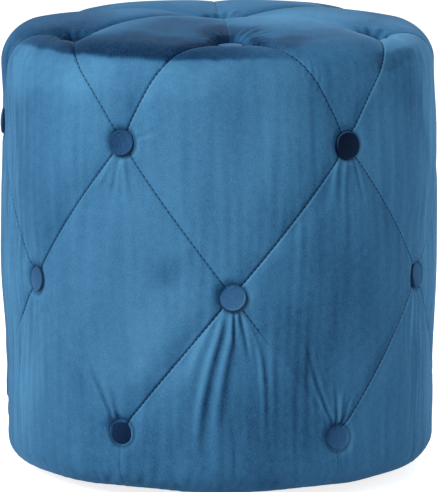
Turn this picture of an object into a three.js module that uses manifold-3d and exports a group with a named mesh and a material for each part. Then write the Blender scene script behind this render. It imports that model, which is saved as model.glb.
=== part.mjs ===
// Round button-tufted velvet tuffet: a drum frame of two boards, six posts and a hardboard skin,
// padded with foam and wadding, and covered in one sewn velvet cover held down by tied buttons.
//
// Millimetres, +Z up. The origin is on the floor under the middle of the tuffet.
// The front is the -Y side, and angles are counted from it towards +X.
import * as THREE from "three";
import { mergeVertices } from "three/addons/utils/BufferGeometryUtils.js";
import Module from "manifold-3d";

const wasm = await Module();
wasm.setup();

// Driving sizes of the padded body
const BODY_RADIUS = 200; // at the crest of the fullest side cushions
const BODY_HEIGHT = 414; // hem to the crest of the top cushions
const CROWN_RADIUS = 930; // of the shallow dome that the top's cushions rise to
const RIM_RADIUS = 37; // rounding from the side to the top
const FOOT_RADIUS = 24; // rounding from the side to the underside
const FOOT_DRAW_IN = 5; // how much slimmer the side is at the foot
const WAIST_DRAW_IN = 5.5; // and between the two lower rows of buttons
const RIM_DRAW_IN = 3.5; // and where the rim begins
const HEM_WIDTH = 31; // velvet turned under the base

// Layers, from outside in
const COVER_THICKNESS = 1.5;
const WADDING_THICKNESS = 6;
const SIDE_FOAM_THICKNESS = 20; // where the side is fullest
const TOP_FOAM_THICKNESS = 50; // under the crest of the top
const SKIN_THICKNESS = 3.2;
const GAP = 0.3; // clearance between pieces that touch

// Frame
const TOP_BOARD_THICKNESS = 12;
const BASE_BOARD_THICKNESS = 15;
const SKIN_LIFT = 3; // lower edge of the skin above the underside of the base board
const POST_WIDTH = 30;

// Buttons, tied through the padding with twine to a washer inside the frame
const BUTTON_RADIUS = 11.4;
const BUTTON_HEIGHT = 6.2;
const BUTTON_BACK_RADIUS = 9.8;
const BUTTON_EDGE_HEIGHT = 2.2; // where the covered button is widest
const DOME_RADIUS = 6.8; // where its dome turns into its side
const DOME_EDGE_HEIGHT = 5.3;
const TWINE_RADIUS = 0.8;
const WASHER_RADIUS = 5;
const WASHER_THICKNESS = 1.5;

// Rows of buttons
const BUTTONS_IN_ROW = 6;
const TOP_ROW_SET_IN = 50; // top row's ties, in from the fullest side
const LOWER_ROW_HEIGHT = 58;
const ROW_SPACING = 130;
const SIDE_PIT_DEPTH = 8; // how far the twine pulls the velvet below the cushions around it
const TOP_PIT_DEPTH = 22;
const CENTRE_PIT_DEPTH = 27;
const BOWL_DEPTH = 9; // how far the crown's middle is drawn down, with its button
const BOWL_RADIUS = 90;
const SIDE_DENT_RADIUS = 30; // how far round a button the pull is felt
const TOP_DENT_RADIUS = 20;
const SIDE_SWELL = 3.6; // how far a cushion stands above its seams
const TOP_SWELL = 9;

// Turn of each row about the axis, in degrees from an even spacing that starts at the front
const TOP_TURN = 3.5;
const UPPER_TURN = 4.4;
const MIDDLE_TURN = 3.2;
const LOWER_TURN = 2.2;

// Underside
const DUST_COVER_SET_IN = 13; // its edge, in from the outer edge of the hem
const DUST_COVER_THICKNESS = 1;
const GLIDE_COUNT = 4;
const GLIDE_RADIUS = 12.5;
const GLIDE_HEIGHT = 6;
const GLIDE_CHAMFER = 1.2;
const GLIDE_SET_IN = 18; // middle of a glide, in from the inner edge of the hem
const NAIL_RADIUS = 1.2;
const NAIL_HEAD_RADIUS = 3.2;
const NAIL_HEAD_THICKNESS = 1;
const NAIL_RECESS = 1.2; // nail head above the floor
const NAIL_GRIP = 11; // length driven into the base board

// Post screws
const SCREW_RADIUS = 2;
const SCREW_HEAD_RADIUS = 4;
const SCREW_HEAD_HEIGHT = 2.4;
const SCREW_LENGTH = 40;
const SCREW_POINT = 5;

const OVERRUN = 1; // how far a cutting tool passes the face that it cuts

// Grid of the sewn cover: columns between one button and the next half column
const COLUMNS = 36;
const HEM_COLUMNS = 16;
const SIDE_ROUNDNESS = 2.4; // exponent of the rise from a seam to the crest
const TOP_ROUNDNESS = 6;
const FACET_WEDGE = 1.1; // a facet can climb this much faster than its edges
const ROUND_SIDES = 36;
const BUTTON_SIDES = 10;
const HARDWARE_SIDES = 8;
const GLIDE_SIDES = 14;

// Materials, with the colours of the photograph
const finish = (color, roughness, metalness = 0) =>
  new THREE.MeshStandardMaterial({ color, roughness, metalness });
const velvet = finish(0x3d74a3, 0.8);
const buttonVelvet = finish(0x2b5480, 0.75);
const polyester = finish(0xf0efe9, 0.95);
const foam = finish(0xe9dfb4, 0.95);
const hardboard = finish(0x8a6a48, 0.8);
const plywood = finish(0xc9a878, 0.7);
const pine = finish(0xd9b988, 0.7);
const nonWoven = finish(0x16171a, 0.9);
const nylon = finish(0x1c1c1e, 0.5);
const steel = finish(0xb4b7ba, 0.4, 1);

// Levels from the floor up
const dustCoverBottom = GLIDE_HEIGHT + GAP;
const hemBottom = dustCoverBottom + DUST_COVER_THICKNESS + GAP;
const baseBottom = hemBottom + COVER_THICKNESS + GAP;
const baseTop = baseBottom + BASE_BOARD_THICKNESS;
const crest = hemBottom + BODY_HEIGHT;
const rimReach = BODY_RADIUS - RIM_DRAW_IN - RIM_RADIUS;
const crownTurn = Math.asin(rimReach / (CROWN_RADIUS - RIM_RADIUS)); // where crown and rim meet
const rimBottom =
  crest - CROWN_RADIUS + (CROWN_RADIUS - RIM_RADIUS) * Math.cos(crownTurn);
const footTop = hemBottom + FOOT_RADIUS;
const lowerRow = LOWER_ROW_HEIGHT;
const middleRow = lowerRow + ROW_SPACING;
const upperRow = middleRow + ROW_SPACING;

// Depth of each layer's faces below the velvet's outer face
const waddingDepth = COVER_THICKNESS + GAP;
const waddingBack = waddingDepth + WADDING_THICKNESS;
const foamDepth = waddingBack + GAP;

const boardTop = crest - foamDepth - TOP_FOAM_THICKNESS - GAP;
const boardBottom = boardTop - TOP_BOARD_THICKNESS;
const skinOuter = BODY_RADIUS - foamDepth - SIDE_FOAM_THICKNESS - GAP;
const skinInner = skinOuter - SKIN_THICKNESS;
const flatShare = Math.cos(Math.PI / COLUMNS); // a faceted ring's flats lie this far out
const boardRadius = skinInner * flatShare - GAP;
const postCircle = Math.sqrt(boardRadius ** 2 - (POST_WIDTH / 2) ** 2) - POST_WIDTH / 2;
const topRowRadius = BODY_RADIUS - TOP_ROW_SET_IN;
const hemOuter = BODY_RADIUS - FOOT_DRAW_IN - FOOT_RADIUS;
const hemInner = hemOuter - HEM_WIDTH;

// A twine's hole is a square on its corner that clears the twine by the gap
const holeReach = (TWINE_RADIUS + GAP) * Math.SQRT2;

// Outline of the body, cut through its axis: x is the radius, y the height

const waistHeight = (lowerRow + middleRow) / 2;
const fullHeight = (middleRow + upperRow) / 2;

/** How much slimmer than BODY_RADIUS the side is at a height. */
function drawInAt(height) {
  const stops = [
    [footTop, FOOT_DRAW_IN],
    [waistHeight, WAIST_DRAW_IN],
    [fullHeight, 0],
    [rimBottom, RIM_DRAW_IN],
  ];
  const next = stops.findIndex(([level]) => height <= level);
  if (next === 0) return FOOT_DRAW_IN;
  if (next < 0) return RIM_DRAW_IN;
  const [[from, start], [to, end]] = [stops[next - 1], stops[next]];
  const share = THREE.MathUtils.smoothstep(height, from, to);
  return start + (end - start) * share;
}

const at = (x, y) => new THREE.Vector2(x, y);
const footCentre = at(hemOuter, footTop);
const rimCentre = at(rimReach, rimBottom);

/** A point of the outline with the direction that its buttons and layers face. */
const onTop = (radius) => ({
  point: at(radius, crest - CROWN_RADIUS + Math.sqrt(CROWN_RADIUS ** 2 - radius ** 2)),
  out: at(0, 1),
});
const onSide = (height) => ({
  point: at(BODY_RADIUS - drawInAt(height), height),
  out: at(1, 0),
});
const onHem = (radius) => ({ point: at(radius, hemBottom), out: at(0, -1) });
function onRim(degrees) {
  const turn = THREE.MathUtils.degToRad(degrees);
  const out = at(Math.cos(turn), Math.sin(turn));
  return { point: out.clone().multiplyScalar(RIM_RADIUS).add(rimCentre), out };
}
function onFoot(degrees) {
  const turn = THREE.MathUtils.degToRad(degrees);
  const out = at(Math.cos(turn), -Math.sin(turn));
  return { point: out.clone().multiplyScalar(FOOT_RADIUS).add(footCentre), out };
}

// Rings of the grid, from the top centre to the hem. Columns are counted in half spacings, so the
// buttons of the top and middle rows are on even ones and those of the other two rows on odd ones.
// seam: how far across, from an even column to an odd one, the seam crosses the ring.

const ring = (place, seam, turn, swell, columns = COLUMNS) => ({
  ...place,
  seam,
  turn,
  swell,
  columns,
});
const row = (name, pit, circle) => ({ ...circle, name, pit, buttons: circle.seam });

/** Rings between two rows, from their places and their shares of the way down. */
function between(above, below, places) {
  return places.map(([place, share]) => {
    const mix = (key) => above[key] + (below[key] - above[key]) * share;
    return ring(place, mix("seam"), mix("turn"), mix("swell"));
  });
}
const stepShares = [1 / 3, 2 / 3];
const spaced = (from, to) => stepShares.map((share) => [onSide(from + (to - from) * share), share]);

const topRow = row("top", TOP_PIT_DEPTH, ring(onTop(topRowRadius), 0, TOP_TURN, TOP_SWELL));
const upper = row("upper", SIDE_PIT_DEPTH, ring(onSide(upperRow), 1, UPPER_TURN, SIDE_SWELL));
const middle = row("middle", SIDE_PIT_DEPTH, ring(onSide(middleRow), 0, MIDDLE_TURN, SIDE_SWELL));
const lower = row("lower", SIDE_PIT_DEPTH, ring(onSide(lowerRow), 1, LOWER_TURN, SIDE_SWELL));
const rows = [topRow, upper, middle, lower];

const heartShare = 0.25; // of the top row's radius
const crownShare = 0.55;
const shoulderShares = [1 / 3, 0.56, 0.71]; // of the seam's turn from the top row to the upper one
const shoulderDegrees = [75, 35]; // up from level
const footSwellShare = 0.7;
const underSwellShare = 0.3;
const underDegrees = 45;

const crown = ring(onTop(topRowRadius * crownShare), 0, TOP_TURN, TOP_SWELL, COLUMNS / 2);
const heart = ring(onTop(topRowRadius * heartShare), 0, TOP_TURN, TOP_SWELL, COLUMNS / 3);
const centre = ring(onTop(holeReach), 0, TOP_TURN, TOP_SWELL, BUTTONS_IN_ROW);
const shoulderPlaces = [...shoulderDegrees.map(onRim), onSide(rimBottom)];
const shoulder = between(
  topRow,
  upper,
  shoulderPlaces.map((place, i) => [place, shoulderShares[i]]),
);
const rimRing = shoulder.at(-1);
const upperBand = between(upper, middle, spaced(upperRow, middleRow));
const lowerBand = between(middle, lower, spaced(middleRow, lowerRow));
const footRing = ring(onSide(footTop), 1, LOWER_TURN, SIDE_SWELL * footSwellShare);
const underRing = ring(onFoot(underDegrees), 1, LOWER_TURN, SIDE_SWELL * underSwellShare);
const hemRings = [
  ring(onFoot(90), 1, LOWER_TURN, 0, HEM_COLUMNS),
  ring(onHem(hemInner), 1, LOWER_TURN, 0, HEM_COLUMNS / 2),
];

const topRings = [centre, heart, crown, topRow, ...shoulder];
const sideRings = [rimRing, upper, ...upperBand, middle, ...lowerBand, lower, footRing, underRing];
const paddedRings = [...topRings, ...sideRings.slice(1)];

const HALF_COLUMNS = 2 * BUTTONS_IN_ROW;
const angleOf = (circle, half) =>
  THREE.MathUtils.degToRad((half * 360) / HALF_COLUMNS + circle.turn);
const around = (radius, angle, height) =>
  new THREE.Vector3(radius * Math.sin(angle), -radius * Math.cos(angle), height);

/** Where each button is tied, on the outline, with the depth of its pit. */
const ties = [{ spot: around(0, 0, crest), pit: CENTRE_PIT_DEPTH, reach: TOP_DENT_RADIUS }];
const bowlAt = (spot) =>
  BOWL_DEPTH * (1 - THREE.MathUtils.smoothstep(Math.hypot(spot.x, spot.y), 0, BOWL_RADIUS));
for (const circle of rows)
  for (let i = 0; i < BUTTONS_IN_ROW; i++) {
    const angle = angleOf(circle, 2 * i + circle.buttons);
    const reach = circle === topRow ? TOP_DENT_RADIUS : SIDE_DENT_RADIUS;
    ties.push({ spot: around(circle.point.x, angle, circle.point.y), pit: circle.pit, reach });
  }

/** How far the velvet lies below a spot of the outline: its seams sink, and its buttons more. */
function sinkAt(circle, half, spot) {
  const across = 1 - Math.abs(1 - (half % 2));
  const fromSeam = Math.abs(across - circle.seam);
  const pulls = ties.map(({ spot: tie, pit, reach }) => {
    const near = Math.exp(-((spot.distanceTo(tie) / reach) ** 2));
    return (pit - circle.swell) * near;
  });
  const loose = circle.swell === 0 ? 0 : 1;
  const roundness = circle.swell > SIDE_SWELL ? TOP_ROUNDNESS : SIDE_ROUNDNESS;
  const seam = circle.swell * (1 - fromSeam) ** roundness;
  return seam + Math.max(...pulls) * loose + bowlAt(spot);
}

/** The grid's points on one ring, in order round it. A button's point opens into a square hole. */
function pointsOf(circle) {
  const points = [];
  for (let i = 0; i < circle.columns; i++) {
    const half = (i * HALF_COLUMNS) / circle.columns;
    if (circle.buttons === undefined || half % 2 !== circle.buttons) {
      points.push({ circle, half, along: 0 });
      continue;
    }
    const side = ((holeReach / circle.point.x) * HALF_COLUMNS) / (2 * Math.PI);
    points.push({ circle, half, along: -holeReach, only: "above" });
    points.push({ circle, half, along: holeReach, only: "below" });
    points.push({ circle, half: half + side, along: 0 });
    points.push({ circle, half: (half - side + HALF_COLUMNS) % HALF_COLUMNS, along: 0 });
  }
  return points.sort((a, b) => a.half - b.half);
}

/** Place of a grid point on the face that lies `depth` below the velvet's outer face. */
function onFace({ circle, half, along }, depth) {
  const { point, out } = circle;
  const angle = angleOf(circle, half);
  const spot = point.clone().add(at(out.y, -out.x).multiplyScalar(along));
  const sink = sinkAt(circle, half, around(spot.x, angle, spot.y));
  spot.addScaledVector(out, -sink - depth);
  return around(spot.x, angle, spot.y);
}

/** Triangles between two neighbouring rings, split along the seam that crosses them. */
function strip(above, below, rise) {
  const faces = [];
  const last = (list) => ({ ...list[0], half: HALF_COLUMNS });
  const [top, bottom] = [[...above, last(above)], [...below, last(below)]];
  let [i, j] = [0, 0];
  while (i < top.length - 1 || j < bottom.length - 1) {
    const nextTop = top[i + 1]?.half ?? Infinity;
    const nextBottom = bottom[j + 1]?.half ?? Infinity;
    const level = Math.abs(nextTop - nextBottom) < Number.EPSILON * HALF_COLUMNS;
    const outwards = Math.floor((top[i].half + nextTop) / 2) % 2 === 0;
    const takeBottom = level ? rise > 0 === outwards : nextBottom < nextTop;
    if (takeBottom) faces.push([top[i].index, bottom[j].index, bottom[++j].index]);
    else faces.push([top[i].index, bottom[j].index, top[++i].index]);
  }
  return faces;
}

/** A closed sheet over the rings, from an outer face to an inner one with the same grid. */
function sheet(circles, outerFace, innerFace) {
  const lines = circles.map(pointsOf);
  const grid = lines.flat();
  grid.forEach((point, index) => (point.index = index));
  const faces = lines.slice(1).flatMap((points, i) => {
    const above = lines[i].filter(({ only }) => only !== "above");
    const below = points.filter(({ only }) => only !== "below");
    return strip(above, below, circles[i + 1].seam - circles[i].seam);
  });
  const inner = (index) => index + grid.length;
  const edges = new Map();
  for (const [a, b, c] of faces)
    for (const [from, to] of [[a, b], [b, c], [c, a]]) edges.set(`${from} ${to}`, [from, to]);
  const rims = [...edges.values()].filter(([from, to]) => !edges.has(`${to} ${from}`));
  const walls = rims.flatMap(([from, to]) => [
    [to, from, inner(from)],
    [to, inner(from), inner(to)],
  ]);
  const back = faces.map(([a, b, c]) => [inner(a), inner(c), inner(b)]);
  const places = [...grid.map(outerFace), ...grid.map(innerFace)];
  const geometry = new THREE.BufferGeometry().setFromPoints(places);
  geometry.setIndex([...faces, ...walls, ...back].flat());
  return geometry;
}

/** A three.js geometry as a closed solid. */
function solidOf(geometry) {
  const bare = geometry.clone();
  bare.deleteAttribute("normal");
  bare.deleteAttribute("uv");
  const merged = mergeVertices(bare);
  const mesh = new wasm.Mesh({
    numProp: 3,
    vertProperties: merged.attributes.position.array,
    triVerts: new Uint32Array(merged.index.array),
  });
  return new wasm.Manifold(mesh);
}

/** A geometry with tools cut out of it. */
function cut(geometry, tools) {
  const left = tools.reduce((body, tool) => body.subtract(solidOf(tool)), solidOf(geometry));
  const { vertProperties, triVerts } = left.getMesh();
  const made = new THREE.BufferGeometry();
  made.setAttribute("position", new THREE.BufferAttribute(vertProperties, 3));
  made.setIndex(new THREE.BufferAttribute(triVerts, 1));
  return made;
}

/** A solid of revolution about +Z from points of radius and height, lowest first. */
function turned(points, sides) {
  const outline = points.map(([radius, height]) => at(radius, height));
  return new THREE.LatheGeometry(outline, sides).rotateX(Math.PI / 2);
}
function disc(radius, bottom, thickness, sides = ROUND_SIDES) {
  const top = bottom + thickness;
  return turned([[0, bottom], [radius, bottom], [radius, top], [0, top]], sides);
}

const tuffet = new THREE.Group();
tuffet.name = "tuffet";

function add(name, geometry, material, place) {
  const mesh = new THREE.Mesh(geometry, material);
  mesh.name = name;
  if (place) mesh.position.copy(place);
  tuffet.add(mesh);
  return mesh;
}

// Soft layers

add(
  "velvet_cover",
  sheet(
    [...paddedRings, ...hemRings],
    (point) => onFace(point, 0),
    (point) => onFace(point, COVER_THICKNESS),
  ),
  velvet,
);
add(
  "wadding",
  sheet(
    paddedRings,
    (point) => onFace(point, waddingDepth),
    (point) => onFace(point, waddingBack),
  ),
  polyester,
);

/** The foam's back lies flat against the skin, at the height of the face in front of it. */
const onSkin = (radius) => (point) => {
  const { z } = onFace(point, foamDepth);
  return around(radius, angleOf(point.circle, point.half), z);
};
add(
  "side_foam",
  sheet(sideRings, (point) => onFace(point, foamDepth), onSkin(skinOuter + GAP)),
  foam,
);

/** The top foam stands on the top board, inside the edge of the side foam. */
const liftedRim = { ...rimRing, point: at(rimRing.point.x, rimBottom + GAP) };
const topFoamBack = (point) => {
  const face = onFace(point, foamDepth);
  const reach = Math.min(Math.hypot(face.x, face.y), skinOuter);
  const height = point.circle === liftedRim ? liftedRim.point.y : boardTop + GAP;
  return around(reach, angleOf(point.circle, point.half), height);
};
add(
  "top_foam",
  sheet([...topRings.slice(0, -1), liftedRim], (point) => onFace(point, foamDepth), topFoamBack),
  foam,
);

// Frame

const skinEdge = (height, { seam, turn }) => ring(onSide(height), seam, turn, 0);
const skinBottom = baseBottom + SKIN_LIFT;
const skinRings = [skinEdge(boardTop, upper), upper, middle, lower, skinEdge(skinBottom, lower)];
const onDrum = (radius) => ({ circle, half, along }) =>
  around(radius, angleOf(circle, half), circle.point.y - along);
add("side_skin", sheet(skinRings, onDrum(skinOuter), onDrum(skinInner)), hardboard);

/** Outline of a countersunk wood screw, head up with its face at z 0. `room` widens all of it. */
const screwOutline = (room) => [
  [0, -SCREW_LENGTH - room],
  [SCREW_RADIUS + room, SCREW_POINT - SCREW_LENGTH - room],
  [SCREW_RADIUS + room, -SCREW_HEAD_HEIGHT],
  [SCREW_HEAD_RADIUS + room, 0],
];
const screwShape = () => turned([...screwOutline(0), [0, 0]], HARDWARE_SIDES);
function screwBore() {
  const mouth = [SCREW_HEAD_RADIUS + GAP, OVERRUN];
  return turned([...screwOutline(GAP), mouth, [0, OVERRUN]], HARDWARE_SIDES);
}

const halfStep = 360 / HALF_COLUMNS / 2;
const postAngles = Array.from({ length: BUTTONS_IN_ROW }, (_, i) =>
  THREE.MathUtils.degToRad((i * 360) / BUTTONS_IN_ROW + halfStep + MIDDLE_TURN),
);
const boreAbove = ({ x, y, z }) => screwBore().translate(x, y, z);
const boreBelow = ({ x, y, z }) => screwBore().rotateX(Math.PI).translate(x, y, z);
const topScrews = postAngles.map((angle) => around(postCircle, angle, boardTop));
const baseScrews = postAngles.map((angle) => around(postCircle, angle, baseBottom));

const twineBore = (place) =>
  disc(
    TWINE_RADIUS + 2 * GAP,
    boardBottom - OVERRUN,
    TOP_BOARD_THICKNESS + 2 * OVERRUN,
    HARDWARE_SIDES,
  ).translate(place.x, place.y, 0);
const topTwines = ties.slice(0, 1 + BUTTONS_IN_ROW).map(({ spot }) => spot);

add(
  "top_board",
  cut(disc(boardRadius, boardBottom, TOP_BOARD_THICKNESS), [
    ...topScrews.map(boreAbove),
    ...topTwines.map(twineBore),
  ]),
  plywood,
);

const glidePlaces = Array.from({ length: GLIDE_COUNT }, (_, i) =>
  around(hemInner - GLIDE_SET_IN, ((i + 1 / 2) * 2 * Math.PI) / GLIDE_COUNT, 0),
);
const nailTop = baseBottom + NAIL_GRIP;
const nailBore = (place) =>
  disc(NAIL_RADIUS + GAP, 0, nailTop + GAP, HARDWARE_SIDES).translate(place.x, place.y, 0);
const nailBores = glidePlaces.map(nailBore);

add(
  "base_board",
  cut(disc(boardRadius, baseBottom, BASE_BOARD_THICKNESS), [
    ...baseScrews.map(boreBelow),
    ...nailBores,
  ]),
  plywood,
);

const postHeight = boardBottom - baseTop - 2 * GAP;
postAngles.forEach((angle, i) => {
  const post = new THREE.BoxGeometry(POST_WIDTH, POST_WIDTH, postHeight)
    .translate(0, 0, baseTop + GAP + postHeight / 2)
    .rotateZ(angle)
    .translate(topScrews[i].x, topScrews[i].y, 0);
  add(`post_${i + 1}`, cut(post, [boreAbove(topScrews[i]), boreBelow(baseScrews[i])]), pine);
});
topScrews.forEach((place, i) => add(`top_screw_${i + 1}`, screwShape(), steel, place));
baseScrews.forEach((place, i) => {
  add(`base_screw_${i + 1}`, screwShape(), steel, place).rotation.x = Math.PI;
});

// Buttons

/** One covered button on its twine, washer inside. z 0 is the pit, `lift` the button's back. */
function buttonShape(tie, lift) {
  return turned(
    [
      [0, -tie - WASHER_THICKNESS],
      [WASHER_RADIUS, -tie - WASHER_THICKNESS],
      [WASHER_RADIUS, -tie],
      [TWINE_RADIUS, -tie],
      [TWINE_RADIUS, lift],
      [BUTTON_BACK_RADIUS, lift],
      [BUTTON_RADIUS, lift + BUTTON_EDGE_HEIGHT],
      [DOME_RADIUS, lift + DOME_EDGE_HEIGHT],
      [0, lift + BUTTON_HEIGHT],
    ],
    BUTTON_SIDES,
  );
}

const velvetPoints = paddedRings.flatMap(pointsOf).map((point) => onFace(point, 0));

/** How far a button's back must stand above its pit to rest on the velvet around it. */
function restOn(pit, facing) {
  const slopes = velvetPoints.map((point) => {
    const reach = point.clone().sub(pit);
    const rise = reach.dot(facing);
    const aside = reach.addScaledVector(facing, -rise).length();
    return aside > BUTTON_RADIUS / 2 ? rise / aside : 0;
  });
  return GAP + Math.max(...slopes) * FACET_WEDGE * BUTTON_RADIUS;
}

function addButton(name, pit, facing, tie) {
  const mesh = add(name, buttonShape(tie, restOn(pit, facing)), buttonVelvet, pit);
  mesh.quaternion.setFromUnitVectors(new THREE.Vector3(0, 0, 1), facing);
}

const centrePit = new THREE.Vector3(0, 0, crest - CENTRE_PIT_DEPTH - BOWL_DEPTH);
addButton("button_top_centre", centrePit, around(0, 0, 1), centrePit.z - boardBottom + GAP);
for (const circle of rows) {
  const { point, out, pit, name, buttons } = circle;
  const inside = point.clone().addScaledVector(out, -pit);
  const tie = circle === topRow ? inside.y - boardBottom : inside.x - skinInner * flatShare;
  for (let i = 0; i < BUTTONS_IN_ROW; i++) {
    const angle = angleOf(circle, 2 * i + buttons);
    const facing = around(out.x, angle, out.y);
    addButton(`button_${name}_${i + 1}`, around(inside.x, angle, inside.y), facing, tie + GAP);
  }
}

// Underside

add(
  "dust_cover",
  cut(disc(hemOuter - DUST_COVER_SET_IN, dustCoverBottom, DUST_COVER_THICKNESS), nailBores),
  nonWoven,
);

const headBore = NAIL_HEAD_RADIUS + GAP;
const headTop = NAIL_RECESS + NAIL_HEAD_THICKNESS;
const glideShape = turned(
  [
    [headBore, headTop + GAP],
    [headBore, 0],
    [GLIDE_RADIUS - GLIDE_CHAMFER, 0],
    [GLIDE_RADIUS, GLIDE_CHAMFER],
    [GLIDE_RADIUS, GLIDE_HEIGHT],
    [NAIL_RADIUS + GAP, GLIDE_HEIGHT],
    [NAIL_RADIUS + GAP, headTop + GAP],
    [headBore, headTop + GAP],
  ],
  GLIDE_SIDES,
);
const nailShape = turned(
  [
    [0, NAIL_RECESS],
    [NAIL_HEAD_RADIUS, NAIL_RECESS],
    [NAIL_HEAD_RADIUS, headTop],
    [NAIL_RADIUS, headTop],
    [NAIL_RADIUS, nailTop - SCREW_POINT],
    [0, nailTop],
  ],
  HARDWARE_SIDES,
);
glidePlaces.forEach((place, i) => {
  add(`glide_${i + 1}`, glideShape, nylon, place);
  add(`glide_nail_${i + 1}`, nailShape, steel, place);
});

export default tuffet;
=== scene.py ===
"""A round, button-tufted velvet tuffet on hidden glides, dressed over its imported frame.

Sizes are millimetres and angles are degrees, counted from the front towards +X. Meshes are
written in metres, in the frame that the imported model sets.
"""

import logging
import math
from dataclasses import dataclass, field
from enum import Enum
from functools import cached_property

import bmesh
import bpy
import numpy as np
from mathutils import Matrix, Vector


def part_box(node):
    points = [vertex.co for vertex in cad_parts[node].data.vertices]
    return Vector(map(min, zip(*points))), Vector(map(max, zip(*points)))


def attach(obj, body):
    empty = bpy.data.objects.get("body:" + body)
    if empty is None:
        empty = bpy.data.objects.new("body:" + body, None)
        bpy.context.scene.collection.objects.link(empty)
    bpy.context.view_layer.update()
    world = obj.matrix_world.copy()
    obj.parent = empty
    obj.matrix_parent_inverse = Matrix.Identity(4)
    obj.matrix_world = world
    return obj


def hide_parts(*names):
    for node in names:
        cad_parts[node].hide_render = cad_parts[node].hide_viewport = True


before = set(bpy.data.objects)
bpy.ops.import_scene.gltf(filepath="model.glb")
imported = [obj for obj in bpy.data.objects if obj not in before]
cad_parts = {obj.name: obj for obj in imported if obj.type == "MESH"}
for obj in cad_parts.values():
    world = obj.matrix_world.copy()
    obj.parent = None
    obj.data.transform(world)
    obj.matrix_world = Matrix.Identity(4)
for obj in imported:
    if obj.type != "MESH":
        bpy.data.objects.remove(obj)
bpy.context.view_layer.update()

Array = np.ndarray
Colour = tuple[float, float, float]
Piece = bpy.types.Object
Material = bpy.types.Material
Socket = bpy.types.NodeSocket

MM = 0.001
HALF_SPACINGS = 12
BUTTONS_IN_ROW = 6

log = logging.getLogger("tuffet")


# Shape of the padded body


@dataclass(frozen=True)
class Spot:
    """A place on the body: an angle and a length down the outline."""

    angle: float
    length: float


@dataclass(frozen=True)
class BodyOutline:
    """Outline of the padded body, cut through its axis, by the length down it from the middle."""

    radius: float = 200.0
    height: float = 414.0
    hem_bottom: float = 7.6
    crown_radius: float = 930.0
    rim_radius: float = 37.0
    rim_draw_in: float = 3.5
    waist_height: float = 123.0
    waist_draw_in: float = 2.4
    full_height: float = 253.0
    foot_radius: float = 24.0
    foot_draw_in: float = 3.0
    hem_width: float = 31.0
    step: float = 0.25

    def draw_in(self, height: Array) -> Array:
        """How much slimmer than its radius the side is.

        Args:
            height: Heights on the side.

        Returns:
            The draw-in at each height.
        """
        stops = [
            (self.hem_bottom + self.foot_radius, self.foot_draw_in),
            (self.waist_height, self.waist_draw_in),
            (self.full_height, 0.0),
            (self.rim_bottom, self.rim_draw_in),
        ]
        made = np.full_like(height, self.foot_draw_in)
        for (low, start), (high, end) in zip(stops, stops[1:]):
            share = smooth((height - low) / (high - low))
            made = np.where(height >= low, start + (end - start) * share, made)
        return made

    @cached_property
    def crest(self) -> float:
        """Height of the middle of the crown."""
        return self.hem_bottom + self.height

    @cached_property
    def rim_reach(self) -> float:
        """Radius at which the rim's rounding is centred."""
        return self.radius - self.rim_draw_in - self.rim_radius

    @cached_property
    def crown_turn(self) -> float:
        """Slope, in radians, at which the crown meets the rim."""
        return math.asin(self.rim_reach / (self.crown_radius - self.rim_radius))

    @cached_property
    def rim_bottom(self) -> float:
        """Height at which the rim's rounding begins."""
        reach = (self.crown_radius - self.rim_radius) * math.cos(self.crown_turn)
        return self.crest - self.crown_radius + reach

    @cached_property
    def line(self) -> Array:
        """Columns of length, radius, height, and the two parts of the outward direction."""
        centre = self.crest - self.crown_radius
        turns = self._steps(0.0, self.crown_turn, self.crown_radius)
        crown = self.crown_radius * np.stack([np.sin(turns), np.cos(turns)], 1)
        crown[:, 1] += centre
        turns = self._steps(math.pi / 2 - self.crown_turn, 0.0, self.rim_radius)
        rim = self.rim_radius * np.stack([np.cos(turns), np.sin(turns)], 1)
        rim += [self.rim_reach, self.rim_bottom]
        foot_top = self.hem_bottom + self.foot_radius
        heights = self._steps(self.rim_bottom, foot_top, 1.0)
        side = np.stack([self.radius - self.draw_in(heights), heights], 1)
        hem_outer = self.radius - self.foot_draw_in - self.foot_radius
        turns = self._steps(0.0, math.pi / 2, self.foot_radius)
        foot = self.foot_radius * np.stack([np.cos(turns), -np.sin(turns)], 1)
        foot += [hem_outer, foot_top]
        radii = self._steps(hem_outer, hem_outer - self.hem_width, 1.0)
        hem = np.stack([radii, np.full_like(radii, self.hem_bottom)], 1)
        points = np.concatenate([crown, rim[1:], side[1:], foot[1:], hem[1:]])
        lengths = np.concatenate([[0.0], np.cumsum(np.linalg.norm(np.diff(points, axis=0), axis=1))])
        along = np.gradient(points, lengths, axis=0)
        along /= np.linalg.norm(along, axis=1, keepdims=True)
        return np.column_stack([lengths, points, -along[:, 1], along[:, 0]])

    def _steps(self, start: float, end: float, scale: float) -> Array:
        """Even steps from start to end, about one step of the outline long."""
        return np.linspace(start, end, max(2, int(abs(end - start) * scale / self.step)))

    @cached_property
    def length(self) -> float:
        """Length of the whole outline."""
        return float(self.line[-1, 0])

    def at_radius(self, radius: float) -> float:
        """Length down the outline to a radius on the crown."""
        return self.crown_radius * math.asin(radius / self.crown_radius)

    def at_height(self, height: float) -> float:
        """Length down the outline to a height on the rim or the side."""
        table = self.line[self.line[:, 0] > self.at_radius(self.rim_reach)]
        return float(np.interp(-height, -table[:, 2], table[:, 0]))

    def frame_at(self, angle: Array, length: Array) -> tuple[Array, Array]:
        """Places on the outline turned about the axis.

        Args:
            angle: Angles in degrees.
            length: Lengths down the outline.

        Returns:
            The points and the outward directions there.
        """
        table = self.line
        radius, height, out, up = (np.interp(length, table[:, 0], table[:, i]) for i in range(1, 5))
        turn = np.radians(angle)
        sine, cosine = np.sin(turn), -np.cos(turn)
        points = np.stack([radius * sine, radius * cosine, height], -1)
        normals = np.stack([out * sine, out * cosine, up], -1)
        return points, normals

    def point(self, spot: Spot) -> Array:
        """The point of the outline at a place on the body."""
        return self.frame_at(np.array(spot.angle), np.array(spot.length))[0]


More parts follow.
